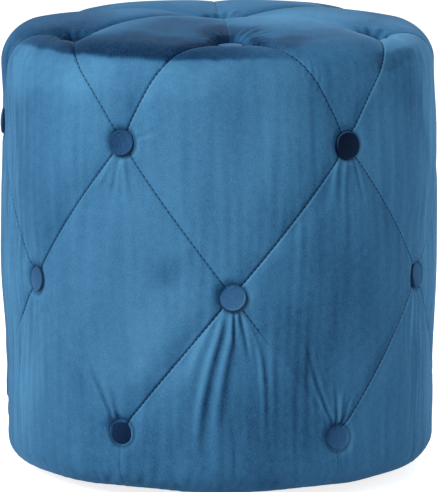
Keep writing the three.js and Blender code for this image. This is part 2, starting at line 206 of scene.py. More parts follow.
def smooth(share: Array) -> Array:
    """Smoothstep from 0 to 1."""
    share = np.clip(share, 0.0, 1.0)
    return share * share * (3.0 - 2.0 * share)


def bell(distance: Array, width: float) -> Array:
    """Bell curve of a distance."""
    return np.exp(-((distance / width) ** 2))


def ripple(points: Array, wavelength: float, seed: int, waves: int = 9) -> Array:
    """Soft unevenness between about -1 and 1, the same at the same point.

    Args:
        points: Points, or points already stretched where the pattern is to run one way.
        wavelength: Usual distance from crest to crest.
        seed: Fixes the pattern.
        waves: How many plane waves are added.

    Returns:
        One value for each point.
    """
    draw = np.random.default_rng(seed)
    directions = draw.normal(size=(waves, 3))
    directions /= np.linalg.norm(directions, axis=1, keepdims=True)
    rates = 2 * math.pi / (wavelength * draw.uniform(0.7, 1.6, waves))
    phases = draw.uniform(0, 2 * math.pi, waves)
    total = np.zeros(points.shape[:-1])
    for direction, rate, phase in zip(directions, rates, phases):
        total += np.sin(points @ direction * rate + phase)
    return total / math.sqrt(waves / 2) / 1.5


@dataclass(frozen=True)
class ButtonRow:
    """One ring of covered buttons."""

    name: str
    length: float
    turn: float
    odd: bool
    nudges: dict[int, tuple[float, float]] = field(default_factory=dict)

    def spot(self, half: int) -> Spot:
        """Place of the button in a half column.

        Args:
            half: Half column, even or odd as the row's are. It may run past one turn.

        Returns:
            The button's place, with its own small shift.
        """
        shift, drop = self.nudges.get(half % HALF_SPACINGS, (0.0, 0.0))
        angle = half * 360 / HALF_SPACINGS + self.turn
        return Spot(angle + shift, self.length + drop)


@dataclass(frozen=True)
class Seam:
    """One edge of a cushion, stitched or not, from the upper place to the lower one."""

    start: Spot
    end: Spot
    bow: float = 1.0
    stitched: bool = True
    tight: float = 1.0
    loose_pull: float = 0.08
    dashed: bool = False
    give: float = 0.14

    def places(self, shares: Array) -> Array:
        """Angle and length at shares of the way from start to end."""
        length = self.start.length + (self.end.length - self.start.length) * shares**self.bow
        angle = self.start.angle + (self.end.angle - self.start.angle) * shares
        return np.stack([angle, length], -1)

    def pull(self, shares: Array) -> Array:
        """How tightly it is drawn in, from 0 to 1, at shares of the way."""
        if self.tight >= 1:
            return np.ones_like(shares)
        held = smooth((self.tight - shares) / self.give)
        return self.loose_pull + (1 - self.loose_pull) * held


@dataclass(frozen=True)
class Cushion:
    """One stuffed field of the cover, bounded by four edges and pulled down by its seams."""

    top: Seam
    bottom: Seam
    left: Seam
    right: Seam
    seams: tuple[Seam, ...]
    middle: float
    panel: tuple[str, int]
    polar: bool = False
    short: bool = False

    def grid(self, columns: int, rows: int) -> Array:
        """Angle and length of a grid over the field, finest along its seams.

        Args:
            columns: Steps along the top and bottom edges.
            rows: Steps along the left and right edges.

        Returns:
            An array of rows + 1 by columns + 1 places.
        """
        across, down = graded(columns), graded(rows)
        top, bottom = (self._plane(edge.places(across)) for edge in (self.top, self.bottom))
        left, right = (self._plane(edge.places(down)) for edge in (self.left, self.right))
        u, v = across[None, :, None], down[:, None, None]
        along = (1 - v) * top[None] + v * bottom[None]
        beside = (1 - u) * left[:, None] + u * right[:, None]
        corners = (1 - v) * ((1 - u) * top[0] + u * top[-1]) + v * (
            (1 - u) * bottom[0] + u * bottom[-1]
        )
        return self._back(along + beside - corners)

    def _plane(self, places: Array) -> Array:
        """Places laid flat: round the middle of the top, or unrolled."""
        if not self.polar:
            return places
        turn = np.radians(places[..., 0] - self.middle)
        return np.stack([places[..., 1] * np.sin(turn), places[..., 1] * np.cos(turn)], -1)

    def _back(self, flat: Array) -> Array:
        """The opposite of _plane."""
        if not self.polar:
            return flat
        turn = np.degrees(np.arctan2(flat[..., 0], flat[..., 1])) + self.middle
        return np.stack([turn, np.hypot(flat[..., 0], flat[..., 1])], -1)


def graded(steps: int, share: float = 0.62) -> Array:
    """Steps from 0 to 1 that are finest at both ends."""
    even = np.linspace(0.0, 1.0, steps + 1)
    return (1 - share) * even + share * (0.5 - 0.5 * np.cos(math.pi * even))


@dataclass(frozen=True)
class TuftingPlan:
    """Where the buttons, the seams and the cushions between them lie."""

    outline: BodyOutline = BodyOutline()
    top_radius: float = 150.0
    lower_height: float = 58.0
    spacing: float = 130.0
    top_swell: float = 9.0
    side_swell: float = 3.0
    shoulder_bow: float = 1.6
    shoulder_bows: dict[tuple[int, int], float] = field(
        default_factory=lambda: {
            (0, 11): 1.9,
            (0, 1): 1.85,
            (10, 9): 2.1,
            (10, 11): 1.4,
            (2, 1): 1.45,
            (2, 3): 2.0,
        }
    )
    shallow_spokes: tuple[int, ...] = (0, 6)
    slack_seams: dict[tuple[int, int], float] = field(
        default_factory=lambda: {(0, 1): 0.38, (10, 11): 0.06, (10, 9): 0.42}
    )

    @cached_property
    def rows(self) -> dict[str, ButtonRow]:
        """The rings of buttons by name."""
        at_height = self.outline.at_height
        low = self.lower_height
        top = self.outline.at_radius(self.top_radius)
        return {
            "top": ButtonRow("top", top, 3.5, False, {2: (2.0, 3.0), 10: (-2.0, 2.0)}),
            "upper": ButtonRow(
                "upper", at_height(low + 2 * self.spacing), 4.4, True, {11: (-0.5, -2.3), 1: (0.45, 1.9)}
            ),
            "middle": ButtonRow(
                "middle", at_height(low + self.spacing), 3.2, False, {0: (0.0, 1.4), 2: (1.3, 0.6)}
            ),
            "lower": ButtonRow(
                "lower", at_height(low), 2.2, True, {11: (0.9, -4.5), 1: (0.2, 2.5), 9: (0.0, 6.0)}
            ),
        }

    @cached_property
    def centre(self) -> Spot:
        """Place of the middle button."""
        return Spot(self.rows["top"].turn, 0.0)

    def buttons(self) -> dict[str, Spot]:
        """Every button's place by the name of its solid."""
        spots = {"button_top_centre": self.centre}
        for row in self.rows.values():
            for i in range(BUTTONS_IN_ROW):
                spots[f"button_{row.name}_{i + 1}"] = row.spot(2 * i + row.odd)
        return spots

    @cached_property
    def cushions(self) -> list[Cushion]:
        """All the fields of the cover, from the top centre to the hem."""
        made = []
        for i in range(BUTTONS_IN_ROW):
            even, odd = 2 * i, 2 * i + 1
            made += [
                self._top_cushion(odd),
                self._diamond(even, "top", "upper", "middle"),
                self._diamond(odd, "upper", "middle", "lower"),
                *self._skirt(even),
            ]
        return made

    def seam(self, above: str, upper_half: int, below: str, lower_half: int) -> Seam:
        """The seam between two buttons of neighbouring rows, from the upper one down."""
        start = self.rows[above].spot(upper_half)
        end = self.rows[below].spot(lower_half)
        halves = upper_half % HALF_SPACINGS, lower_half % HALF_SPACINGS
        if above == "top":
            return Seam(start, end, self.shoulder_bows.get(halves, self.shoulder_bow), dashed=True)
        tight = self.slack_seams.get(halves, 1.0) if below == "lower" else 1.0
        falls_right = (lower_half - upper_half) % HALF_SPACINGS == 1
        return Seam(start, end, tight=tight, dashed=above == "upper" and falls_right)

    def spoke(self, half: int) -> Seam:
        """The seam from the middle button to one of the top row."""
        end = self.rows["top"].spot(half)
        start = Spot(end.angle, 0.0)
        if half % HALF_SPACINGS in self.shallow_spokes:
            return Seam(start, end, tight=0.0, loose_pull=0.3)
        return Seam(start, end)

    def drop(self, half: int) -> Seam:
        """The seam from a lower button down and under to the edge of the hem."""
        start = self.rows["lower"].spot(half)
        return Seam(start, Spot(start.angle, self.outline.length), tight=0.0, loose_pull=0.3)

    def _top_cushion(self, odd: int) -> Cushion:
        """The kite between the middle button, two of the top row and one of the upper row."""
        spokes = self.spoke(odd - 1), self.spoke(odd + 1)
        legs = self.seam("top", odd - 1, "upper", odd), self.seam("top", odd + 1, "upper", odd)
        return Cushion(
            top=spokes[0],
            bottom=legs[1],
            left=spokes[1],
            right=legs[0],
            seams=(*spokes, *legs),
            middle=odd * 360 / HALF_SPACINGS + self.rows["top"].turn,
            panel=("crown", odd),
            polar=True,
        )

    def _diamond(self, half: int, above: str, beside: str, below: str) -> Cushion:
        """The diamond between one button above, two beside it and one below."""
        upper = [self.seam(above, half, beside, side) for side in (half - 1, half + 1)]
        lower = [self.seam(beside, side, below, half) for side in (half - 1, half + 1)]
        return Cushion(
            top=upper[1],
            bottom=lower[0],
            left=upper[0],
            right=lower[1],
            seams=(*upper, *lower),
            middle=half * 360 / HALF_SPACINGS,
            panel=(above, half),
        )

    def _skirt(self, half: int) -> list[Cushion]:
        """The two halves of the field between a middle button, two lower ones and the hem."""
        sides = (half - 1, half + 1)
        legs = [self.seam("middle", half, "lower", side) for side in sides]
        drops = [self.drop(side) for side in sides]
        knot = self.rows["middle"].spot(half)
        foot = Spot(knot.angle, self.outline.length)
        return [
            Cushion(
                top=leg,
                bottom=Seam(foot, drop.end, stitched=False),
                left=Seam(knot, foot, stitched=False),
                right=drop,
                seams=(*legs, *drops),
                middle=knot.angle,
                panel=("skirt", half),
                short=True,
            )
            for leg, drop in zip(legs, drops)
        ]


class Line:
    """A line over the body, in space, with its own lengths."""

    def __init__(self, points: Array) -> None:
        """Keeps the points and measures the line.

        Args:
            points: Points along the line.
        """
        self.starts = points[:-1]
        self.runs = np.diff(points, axis=0)
        self.squares = np.maximum((self.runs**2).sum(1), 1e-9)
        sizes = np.sqrt(self.squares)
        self.before = np.concatenate([[0.0], np.cumsum(sizes)[:-1]])
        self.sizes = sizes
        self.length = float(sizes.sum())
        self.middle = points.mean(0)
        self.reach = float(np.linalg.norm(points - self.middle, axis=1).max())

    def measure(self, points: Array, normals: Array) -> tuple[Array, Array, Array]:
        """Distance to the line, length along it, and which side.

        Args:
            points: Points near the line, one in a row.
            normals: Outward directions there.

        Returns:
            Distances, lengths to the nearest place of the line, and 1 or -1 for its two sides.
        """
        gaps = points[:, None] - self.starts[None]
        shares = np.clip((gaps * self.runs[None]).sum(-1) / self.squares[None], 0.0, 1.0)
        gaps -= shares[..., None] * self.runs[None]
        squares = (gaps**2).sum(-1)
        best = squares.argmin(1)
        rows = np.arange(len(points))
        along = self.before[best] + shares[rows, best] * self.sizes[best]
        turn = np.cross(self.runs[best], gaps[rows, best])
        side = np.where((turn * normals).sum(-1) >= 0, 1.0, -1.0)
        return np.sqrt(squares[rows, best]), along, side


@dataclass(frozen=True)
class Fold:
    """A soft ridge in the velvet, or a furrow where its height is below zero."""

    path: tuple[Spot, ...]
    height: float
    width: float
    fade_in: float = 0.12
    fade_out: float = 0.5
    trough: float = 0.38

    def line(self, outline: BodyOutline) -> Line:
        """The fold's course over the body, as a smooth line."""
        knots = np.array([(spot.angle, spot.length) for spot in self.path])
        knots[:, 0] = np.unwrap(knots[:, 0], period=360)
        marks = np.linspace(0, 1, len(knots))
        steps = np.linspace(0, 1, 5 * len(knots))
        places = np.stack([np.interp(steps, marks, knots[:, i]) for i in range(2)], -1)
        for _ in range(4):
            places[1:-1] = 0.25 * places[:-2] + 0.5 * places[1:-1] + 0.25 * places[2:]
        return Line(outline.frame_at(places[:, 0], places[:, 1])[0])

    def press(self, outline: BodyOutline, points: Array, normals: Array) -> Array:
        """How far the fold moves each point outwards.

        Args:
            outline: The body's outline.
            points: Points on the outline.
            normals: Outward directions there.

        Returns:
            The movement at each point.
        """
        line = self.line(outline)
        lift = np.zeros(len(points))
        reach = line.reach + 5 * self.width
        near = np.linalg.norm(points - line.middle, axis=1) < reach
        if not near.any():
            return lift
        gap, along, side = line.measure(points[near], normals[near])
        share = along / line.length
        ends = smooth(share / self.fade_in) * smooth((1 - share) / self.fade_out)
        offset = gap * side / (self.width * (0.75 + 0.35 * share))
        beside = bell(offset - 2.0, 1.2) + bell(offset + 2.0, 1.2)
        lift[near] = self.height * ends * (bell(offset, 1.0) - self.trough * beside)
        return lift


@dataclass(frozen=True)
class Well:
    """How a button draws the velvet in: a steep pit, and a soft dip around it."""

    depth: float
    radius: float
    dip: float = 0.0
    dip_radius: float = 1.0

    def at(self, gap: Array) -> Array:
        """Depth at distances from the button's axis."""
        return self.depth * np.exp(-((gap / self.radius) ** 4)) + self.dip * bell(gap, self.dip_radius)


# Headings and lengths of the gathers at the front button of the top
FRONT_GATHERS = ((6, 26), (-8, 34), (-20, 40), (-33, 44), (-47, 40), (-62, 32), (-118, 20), (-165, 22))

# Height and width of each crease at the front, then the angles and heights that it runs through
FRONT_CREASES = (
    (1.35, 4.0, (1.4, 178), (-0.4, 151), (-2.9, 123), (-5.3, 81), (-6.4, 49), (-6.6, 18)),
    (1.2, 4.0, (3.2, 178), (2.9, 160), (2.8, 148), (1.0, 123), (-0.8, 81), (-1.2, 45)),
    (-0.8, 1.7, (3.8, 178), (3.8, 160), (3.9, 138)),
    (-1.1, 2.1, (4.9, 178), (6.2, 157), (7.2, 140), (8.2, 122)),
    (0.6, 2.2, (5.8, 178), (9.3, 148), (10.7, 127), (11.3, 100), (11.4, 34)),
    (0.6, 5.0, (-1.0, 175), (-5.0, 140), (-9.5, 95)),
    (-0.9, 2.4, (-26.8, 308), (-27.6, 290), (-28.6, 264)),
    (0.8, 2.4, (-25.4, 308), (-24.6, 286), (-24.2, 262)),
    (0.7, 2.8, (-28.6, 308), (-31.0, 290), (-33.5, 276)),
    (-0.6, 2.0, (-22.2, 324), (-18.5, 329), (-14.5, 331)),
    (0.9, 3.2, (34.2, 306), (33.4, 270), (33.0, 210)),
    (-1.0, 1.8, (36.6, 306), (38.2, 284), (40.0, 256)),
    (0.6, 3.4, (31.8, 305), (30.4, 280), (29.8, 250)),
    (-1.2, 1.9, (31.6, 64), (28.6, 84), (25.6, 112), (22.0, 156)),
    (0.6, 2.4, (30.6, 66), (26.9, 90), (24.6, 118)),
    (-1.0, 1.7, (32.2, 64), (31.9, 90), (31.2, 116)),
    (0.9, 2.0, (32.9, 64), (33.5, 88), (34.4, 106)),
    (-0.6, 1.8, (34.0, 64), (35.6, 84), (37.6, 100)),
    (-1.5, 2.6, (-28.6, 72), (-31.2, 92), (-34.0, 110), (-36.8, 134)),
    (0.8, 2.6, (-28.0, 72), (-29.4, 94), (-31.6, 116)),
    (0.9, 4.0, (-54.5, 176), (-53.0, 135), (-51.5, 60)),
    (-0.9, 3.4, (-57.5, 176), (-58.6, 135), (-60.5, 60)),
    (0.8, 3.6, (-60.0, 176), (-63.5, 120), (-66.0, 55)),
    (0.9, 2.6, (63.0, 176), (61.5, 140), (59.5, 95)),
    (-1.0, 2.6, (64.8, 176), (66.0, 135), (67.0, 90)),
    (0.8, 2.8, (66.4, 176), (69.5, 140), (71.5, 100)),
)


@dataclass(frozen=True)
class Fullness:
    """A place where more padding lies under the velvet."""

    spot: Spot
    reach: float
    rise: float


@dataclass(frozen=True)
class CreaseFans:
    """How many creases run out from each button away from the front, and how far."""

    front_half: float = 70.0
    centre_count: int = 18
    top_count: int = 15
    side_count: int = 9
    top_sizes: tuple[float, float] = (9.0, 22.0)
    centre_stretch: float = 1.6
    side_sizes: tuple[float, float] = (16.0, 34.0)
    long_share: float = 0.4
    long_sizes: tuple[float, float] = (20.0, 60.0)
    spread: float = 42.0
    wobble: float = 7.0
    bend: float = 14.0
    top_heights: tuple[float, float] = (0.4, 0.8)
    side_heights: tuple[float, float] = (0.5, 1.1)
    widths: tuple[float, float] = (1.9, 3.2)
    start: float = 9.5


@dataclass(frozen=True)
class Tufting:
    """How the velvet rises and falls: cushions, seams, button wells and creases; and the shade painted
    in its seams and round its buttons.
    """

    plan: TuftingPlan = TuftingPlan()
    cushion_reach: float = 82.0
    roundness: float = 2.4
    shoulder: tuple[float, float] = (150.0, 190.0)
    groove_share: float = 0.7
    groove_width: float = 4.5
    roll_width: float = 22.0
    side_roll: float = 0.9
    side_roll_width: float = 7.0
    slack_reach: float = 16.0
    seam_depth: float = 0.55
    seam_width: float = 0.8
    lip_height: float = 0.12
    lip_offset: float = 2.2
    pucker: float = 0.13
    pucker_pitch: float = 4.6
    puckered_seam: tuple[int, int] = (0, 1)
    seam_steps: int = 49
    lip_width: float = 1.4
    far_lip: float = 0.25
    pucker_drift: float = 2.2
    pucker_reach: float = 2.6
    strong_pucker: float = 3.2
    loose_edge: tuple[float, float] = (8.0, 20.0)
    foot_fade: tuple[float, float] = (25.0, 0.4)
    fabric_edge: float = 5.0
    # Painted shadow round each button: its radius and width, and how far it is set off on the side
    # buttons
    button_edge: float = 12.6
    button_edge_width: float = 1.6
    shadow_drop: float = -1.1
    side_well: Well = Well(3.4, 14.0)
    top_well: Well = Well(9.0, 14.5, 5.5, 29.0)
    front_well: Well = Well(9.0, 14.5, 2.6, 26.0)
    centre_well: Well = Well(21.0, 18.0, 2.0, 30.0)
    fuller: tuple[Fullness, ...] = (
        Fullness(Spot(-95, 228), 75, 2.6),
        Fullness(Spot(-95, 180), 50, 1.4),
        Fullness(Spot(-137, 172), 70, 1.6),
        Fullness(Spot(128, 172), 60, 2.8),
        Fullness(Spot(-90, 425), 70, 1.6),
    )
    bowl: tuple[float, float] = (9.0, 90.0)
    button_shade: float = 0.9
    shadow_side: float = 0.9
    seam_shade: float = 0.72
    dashed_shade: float = 0.42
    unevenness: float = 0.7
    crush: float = 0.16
    fans: CreaseFans = CreaseFans()
    seed: int = 7

    @cached_property
    def outline(self) -> BodyOutline:
        """The body's outline."""
        return self.plan.outline

    @cached_property
    def folds(self) -> list[Fold]:
        """Creases that show on the front, and like ones at every other button."""
        return self._front_folds() + self._other_folds()

    def _side(self, *knots: tuple[float, float]) -> tuple[Spot, ...]:
        """Places on the side from angles and heights."""
        return tuple(Spot(angle, self.outline.at_height(height)) for angle, height in knots)

    def _front_folds(self) -> list[Fold]:
        """The creases at the buttons that face the front."""
        knot = self.plan.buttons()["button_top_1"]
        gathers = [
            Fold(tuple(self._reach(knot, heading, size)), 0.8 - 0.4 * (i % 2), 1.9, 0.08)
            for i, (heading, size) in enumerate(FRONT_GATHERS)
        ]
        return gathers + [
            Fold(self._side(*knots), height, width) for height, width, *knots in FRONT_CREASES
        ]

    def _other_folds(self) -> list[Fold]:
        """Creases that fan out from the remaining buttons."""
        draw = np.random.default_rng(self.seed)
        fans = self.fans
        made = []
        for name, spot in self.plan.buttons().items():
            row = name.split("_")[1]
            turn = (spot.angle + 180) % 360 - 180
            is_top = row == "top"
            if (not is_top and abs(turn) < fans.front_half) or name == "button_top_1":
                continue
            centre = name.endswith("centre")
            count = (fans.centre_count if centre else fans.top_count) if is_top else fans.side_count
            aim = {"upper": 90.0, "middle": 90.0, "lower": -90.0}.get(row, 0.0)
            for i in range(count):
                if is_top:
                    heading = 360 * (i + draw.uniform(-0.3, 0.3)) / count
                    size = draw.uniform(*fans.top_sizes) * (fans.centre_stretch if centre else 1.0)
                else:
                    heading = aim + fans.spread * (2 * i / (count - 1) - 1)
                    heading += draw.uniform(-fans.wobble, fans.wobble)
                    size = draw.uniform(*fans.side_sizes)
                    size += (draw.random() < fans.long_share) * draw.uniform(*fans.long_sizes)
                made.append(self._fan(spot, heading, size, is_top, draw))
        return made

    def _fan(
        self, spot: Spot, heading: float, size: float, is_top: bool, draw: np.random.Generator
    ) -> Fold:
        """One crease that runs out from a button.

        Args:
            spot: The button's place.
            heading: Direction in degrees, 0 to the right and 90 downwards.
            size: Length of the crease.
            is_top: Whether the button is on the top.
            draw: Source of the small differences.

        Returns:
            The crease.
        """
        fans = self.fans
        knots = self._reach(spot, heading, size, draw.uniform(-fans.bend, fans.bend))
        height = draw.uniform(*(fans.top_heights if is_top else fans.side_heights))
        height *= draw.choice([-1.0, 1.0])
        return Fold(tuple(knots), height, draw.uniform(*fans.widths), 0.08)

    def _reach(self, spot: Spot, heading: float, size: float, bend: float = 0.0) -> list[Spot]:
        """Places on a line that runs out from a button's edge, bent by some degrees."""
        knots = []
        for share in (0.0, 0.5, 1.0):
            turn = math.radians(heading + bend * share)
            reach = self.fans.start + size * share
            knots.append(self._step(spot, reach * math.cos(turn), reach * math.sin(turn)))
        return knots

    def _step(self, spot: Spot, across: float, down: float) -> Spot:
        """The place a little way from another, which may cross the middle of the top."""
        if spot.length < 200:
            turn = math.radians(spot.angle)
            flat = complex(spot.length + down, across) * complex(math.cos(turn), math.sin(turn))
            return Spot(math.degrees(math.atan2(flat.imag, flat.real)), abs(flat))
        radius = abs(float(self.outline.point(Spot(0.0, spot.length))[1]))
        return Spot(spot.angle + math.degrees(across / radius), spot.length + down)

    def lifts(self, cushion: Cushion, places: Array) -> tuple[Array, Array]:
        """How far the velvet stands out from the outline over one cushion.

        Args:
            cushion: The field that is shaped.
            places: Angle and length of its grid points.

        Returns:
            The lift at each point, and the shade painted in its seams and round the buttons, from 0 to
            1.
        """
        shape = places.shape[:2]
        flat = places.reshape(-1, 2)
        points, normals = self.outline.frame_at(flat[:, 0], flat[:, 1])
        length = flat[:, 1]
        distance, groove, crease = self._sewn(cushion, points, normals)
        end, fade = self.loose_edge
        loose = smooth((self.outline.length - end - length) / fade)
        fade, ahead = self.foot_fade
        foot = smooth((self.outline.length - self.outline.hem_width - length) / fade + ahead)
        fabric = smooth(distance / self.fabric_edge)
        lift = -self._sink(distance, length) * foot
        lift += groove * loose
        lift += self._wells(points)
        lift -= self.bowl[0] * (1 - smooth(length / self.bowl[1]))
        lift += loose * self.unevenness * ripple(points, 95, 11) * smooth(distance / 25)
        for place in self.fuller:
            gap = np.linalg.norm(points - self.outline.point(place.spot), axis=1)
            lift += place.rise * bell(gap, place.reach)
        lift += loose * self._crush_at(points) * fabric
        for fold in self.folds:
            lift += fold.press(self.outline, points, normals) * fabric * loose
        # Painted shadow round the buttons
        crease = np.maximum(crease, self._painted_button_shadows(points))
        return lift.reshape(shape), crease.reshape(shape)

    def _sewn(
        self, cushion: Cushion, points: Array, normals: Array
    ) -> tuple[Array, Array, Array]:
        """What the seams of a cushion do to it.

        Args:
            cushion: The field that they bound.
            points: Points on the outline.
            normals: Outward directions there.

        Returns:
            Distance to the nearest seams, the relief along them, and the shade painted along them.
        """
        nearness, groove, crease = np.zeros((3, len(points)))
        puckered = self.plan.seam("top", self.puckered_seam[0], "upper", self.puckered_seam[1])
        for seam in cushion.seams:
            course = seam.places(np.linspace(0, 1, self.seam_steps))
            line = Line(self.outline.frame_at(course[:, 0], course[:, 1])[0])
            gap, along, side = line.measure(points, normals)
            pull = seam.pull(along / line.length)
            away = np.hypot(gap, self.slack_reach * (1 - pull))
            nearness += 1.0 / np.maximum(away, 0.02) ** 3
            valley = bell(gap, self.seam_width)
            lip = bell(gap - self.lip_offset, self.lip_width) * np.where(side > 0, 1.0, self.far_lip)
            phase = self.pucker_drift * ripple(points, 40, 3)
            waves = np.cos(2 * math.pi * along / self.pucker_pitch + phase)
            size = self.pucker * (1.0 + 0.8 * ripple(points, 55, 5))
            size = size * bell(gap - self.pucker_reach, self.pucker_reach)
            if seam == puckered:
                size = self.strong_pucker * self.pucker * bell(gap - 3.0, 5.0)
            groove += pull * (self.lip_height * lip - self.seam_depth * valley + size * waves)
            darkness = self.dashed_shade if seam.dashed else self.seam_shade
            # Painted shade along each seam's valley, weaker where the seam is dashed
            crease = np.maximum(crease, darkness * pull * bell(gap, 0.8 * self.seam_width))
        return nearness ** (-1 / 3), groove, crease

    def _painted_button_shadows(self, points: Array) -> Array:
        """Painted shadow round every button's edge, set off towards the lower right on the side buttons,
        away from the light.
        """
        dark = np.zeros(len(points))
        for spot in self.plan.buttons().values():
            middle = self.outline.point(spot)
            if spot.length > self.shoulder[1]:
                turn = math.radians(spot.angle)
                aside = np.array([math.cos(turn), math.sin(turn), self.shadow_drop])
                middle = middle + self.shadow_side * aside
            gap = np.linalg.norm(points - middle, axis=1)
            ring = self.button_shade * bell(gap - self.button_edge, self.button_edge_width)
            dark = np.maximum(dark, ring)
        return dark

    def _sink(self, distance: Array, length: Array) -> Array:
        """How far the seams draw the velvet in.

        Args:
            distance: Distance to the nearest seams.
            length: Length down the outline.

        Returns:
            The sink: a tight deep groove on the top, a wide shallow one on the side.
        """
        start, end = self.shoulder
        top = 1 - smooth((length - start) / (end - start))
        tight = self.groove_share * np.exp(-distance / self.groove_width)
        rolled = (1 - self.groove_share) * np.exp(-distance / self.roll_width)
        wide = np.maximum(0.0, 1 - distance / self.cushion_reach) ** self.roundness
        side = self.side_roll * np.exp(-distance / self.side_roll_width)
        side += (self.plan.side_swell - self.side_roll) * wide
        return top * self.plan.top_swell * (tight + rolled) + (1 - top) * side

    def _wells(self, points: Array) -> Array:
        """The pull of every button, steep at its edge."""
        lift = np.zeros(len(points))
        special = {"button_top_centre": self.centre_well, "button_top_1": self.front_well}
        for name, spot in self.plan.buttons().items():
            gap = np.linalg.norm(points - self.outline.point(spot), axis=1)
            well = self.top_well if "_top_" in name else self.side_well
            lift -= special.get(name, well).at(gap)
        return lift

    def _crush_at(self, points: Array) -> Array:
        """Fine upright creasing of the pile and its backing on the side."""
        stretched = points * [1.0, 1.0, 0.07]
        on_side = smooth((self.outline.rim_bottom + 12 - points[:, 2]) / 25)
        patches = smooth(0.5 + 0.7 * ripple(points, 130, 21))
        return self.crush * on_side * (0.3 + patches) * ripple(stretched, 7.5, 23, 14)


class Sheet:
    """A cover laid over all the cushions as one joined grid."""

    JOINS_PER_MM = 200

    def __init__(self, tufting: Tufting, columns: int, skirt_rows: int) -> None:
        """Lays the grid out and shapes it.

        Args:
            tufting: The shape of the velvet.
            columns: Steps along each seam.
            skirt_rows: Steps down each field of the skirt.
        """
        self.tufting = tufting
        self.places: list[Array] = []
        lifts, creases = [], []
        for cushion in tufting.plan.cushions:
            places = cushion.grid(columns, skirt_rows if cushion.short else columns)
            lift, crease = tufting.lifts(cushion, places)
            self.places.append(places)
            lifts.append(lift.ravel())
            creases.append(crease.ravel())
        self._join(np.concatenate(lifts), np.concatenate(creases))

    def _join(self, lifts: Array, creases: Array) -> None:
        """Joins the cushions' grids where they meet, with every face pointing out.

        Args:
            lifts: How far each point stands out.
            creases: The shade painted in the seams and round the buttons.
        """
        flat = np.concatenate([places.reshape(-1, 2) for places in self.places])
        base, normals = self.tufting.outline.frame_at(flat[:, 0], flat[:, 1])
        keys = np.round(base * self.JOINS_PER_MM).astype(np.int64)
        _, first, joined = np.unique(keys, axis=0, return_index=True, return_inverse=True)
        self.joined = joined.ravel()
        self.base, self.normals = base[first], normals[first]
        self.flat = flat[first]
        self.lift, self.crease = lifts[first], creases[first]
        quads = []
        for _, index in self.grids():
            corners = [index[:-1, :-1], index[:-1, 1:], index[1:, 1:], index[1:, :-1]]
            quad = np.stack([corner.ravel() for corner in corners], 1)
            points = self.base[quad]
            facing = np.cross(points[:, 2] - points[:, 0], points[:, 3] - points[:, 1])
            if (facing * self.normals[quad[:, 0]]).sum() < 0:
                quad = quad[:, ::-1]
            quads.append(quad)
        self.quads = np.concatenate(quads)

    def grids(self) -> list[tuple[Cushion, Array]]:
        """Each cushion, with the joined points of its own grid."""
        made, start = [], 0
        for cushion, places in zip(self.tufting.plan.cushions, self.places):
            rows, columns = places.shape[:2]
            index = self.joined[start : start + rows * columns].reshape(rows, columns)
            made.append((cushion, index))
            start += rows * columns
        return made

    def points(self, inset: float = 0.0) -> Array:
        """The joined grid's points, at some depth below the velvet."""
        return self.base + self.normals * (self.lift - inset)[:, None]


def new_piece(name: str, points: Array, faces: Array | list) -> Piece:
    """A mesh object at the origin, shaded smooth, from points in millimetres.

    Args:
        name: The piece's name.
        points: Its points.
        faces: Indices of its faces' corners.

    Returns:
        The new object, linked into the scene.
    """
    mesh = bpy.data.meshes.new(name)
    corners = faces.tolist() if isinstance(faces, Array) else faces
    mesh.from_pydata((np.asarray(points) * MM).tolist(), [], corners)
    mesh.validate()
    mesh.polygons.foreach_set("use_smooth", [True] * len(mesh.polygons))
    return show(name, mesh)


def show(name: str, data: bpy.types.ID) -> Piece:
    """Links a new object into the scene."""
    made = bpy.data.objects.new(name, data)
    bpy.context.scene.collection.objects.link(made)
    return made


def paint(piece: Piece, name: str, values: Array) -> None:
    """Stores one value for each point of a piece, for its material."""
    layer = piece.data.attributes.new(name, "FLOAT", "POINT")
    layer.data.foreach_set("value", np.asarray(values, dtype=np.float32))


def join_up(piece: Piece) -> None:
    """Merges a piece's doubled points and turns its faces outwards."""
    edit = bmesh.new()
    edit.from_mesh(piece.data)
    bmesh.ops.remove_doubles(edit, verts=edit.verts, dist=1e-6)
    bmesh.ops.recalc_face_normals(edit, faces=edit.faces)
    edit.to_mesh(piece.data)
    edit.free()


# Shader helpers


class Wire:
    """One output of a material's node, or a number, that can be used in sums."""

    def __init__(self, bench: "Bench", socket: Socket) -> None:
        """Keeps the bench that the node is on and its socket."""
        self.bench = bench
        self.socket = socket

    def _math(self, operation: str, first: "Wire | float", second: "Wire | float") -> "Wire":
        """Adds a Math node."""
        return self.bench.node("ShaderNodeMath", {"operation": operation}, {0: first, 1: second})

    def __add__(self, other: "Wire | float") -> "Wire":
        """Sum."""
        return self._math("ADD", self, other)

    def __radd__(self, other: "Wire | float") -> "Wire":
        """Sum with a number first."""
        return self._math("ADD", other, self)

    def __sub__(self, other: "Wire | float") -> "Wire":
        """Difference."""
        return self._math("SUBTRACT", self, other)

    def __rsub__(self, other: "Wire | float") -> "Wire":
        """Difference with a number first."""
        return self._math("SUBTRACT", other, self)

    def __mul__(self, other: "Wire | float") -> "Wire":
        """Product."""
        return self._math("MULTIPLY", self, other)

    def __rmul__(self, other: "Wire | float") -> "Wire":
        """Product with a number first."""
        return self._math("MULTIPLY", other, self)


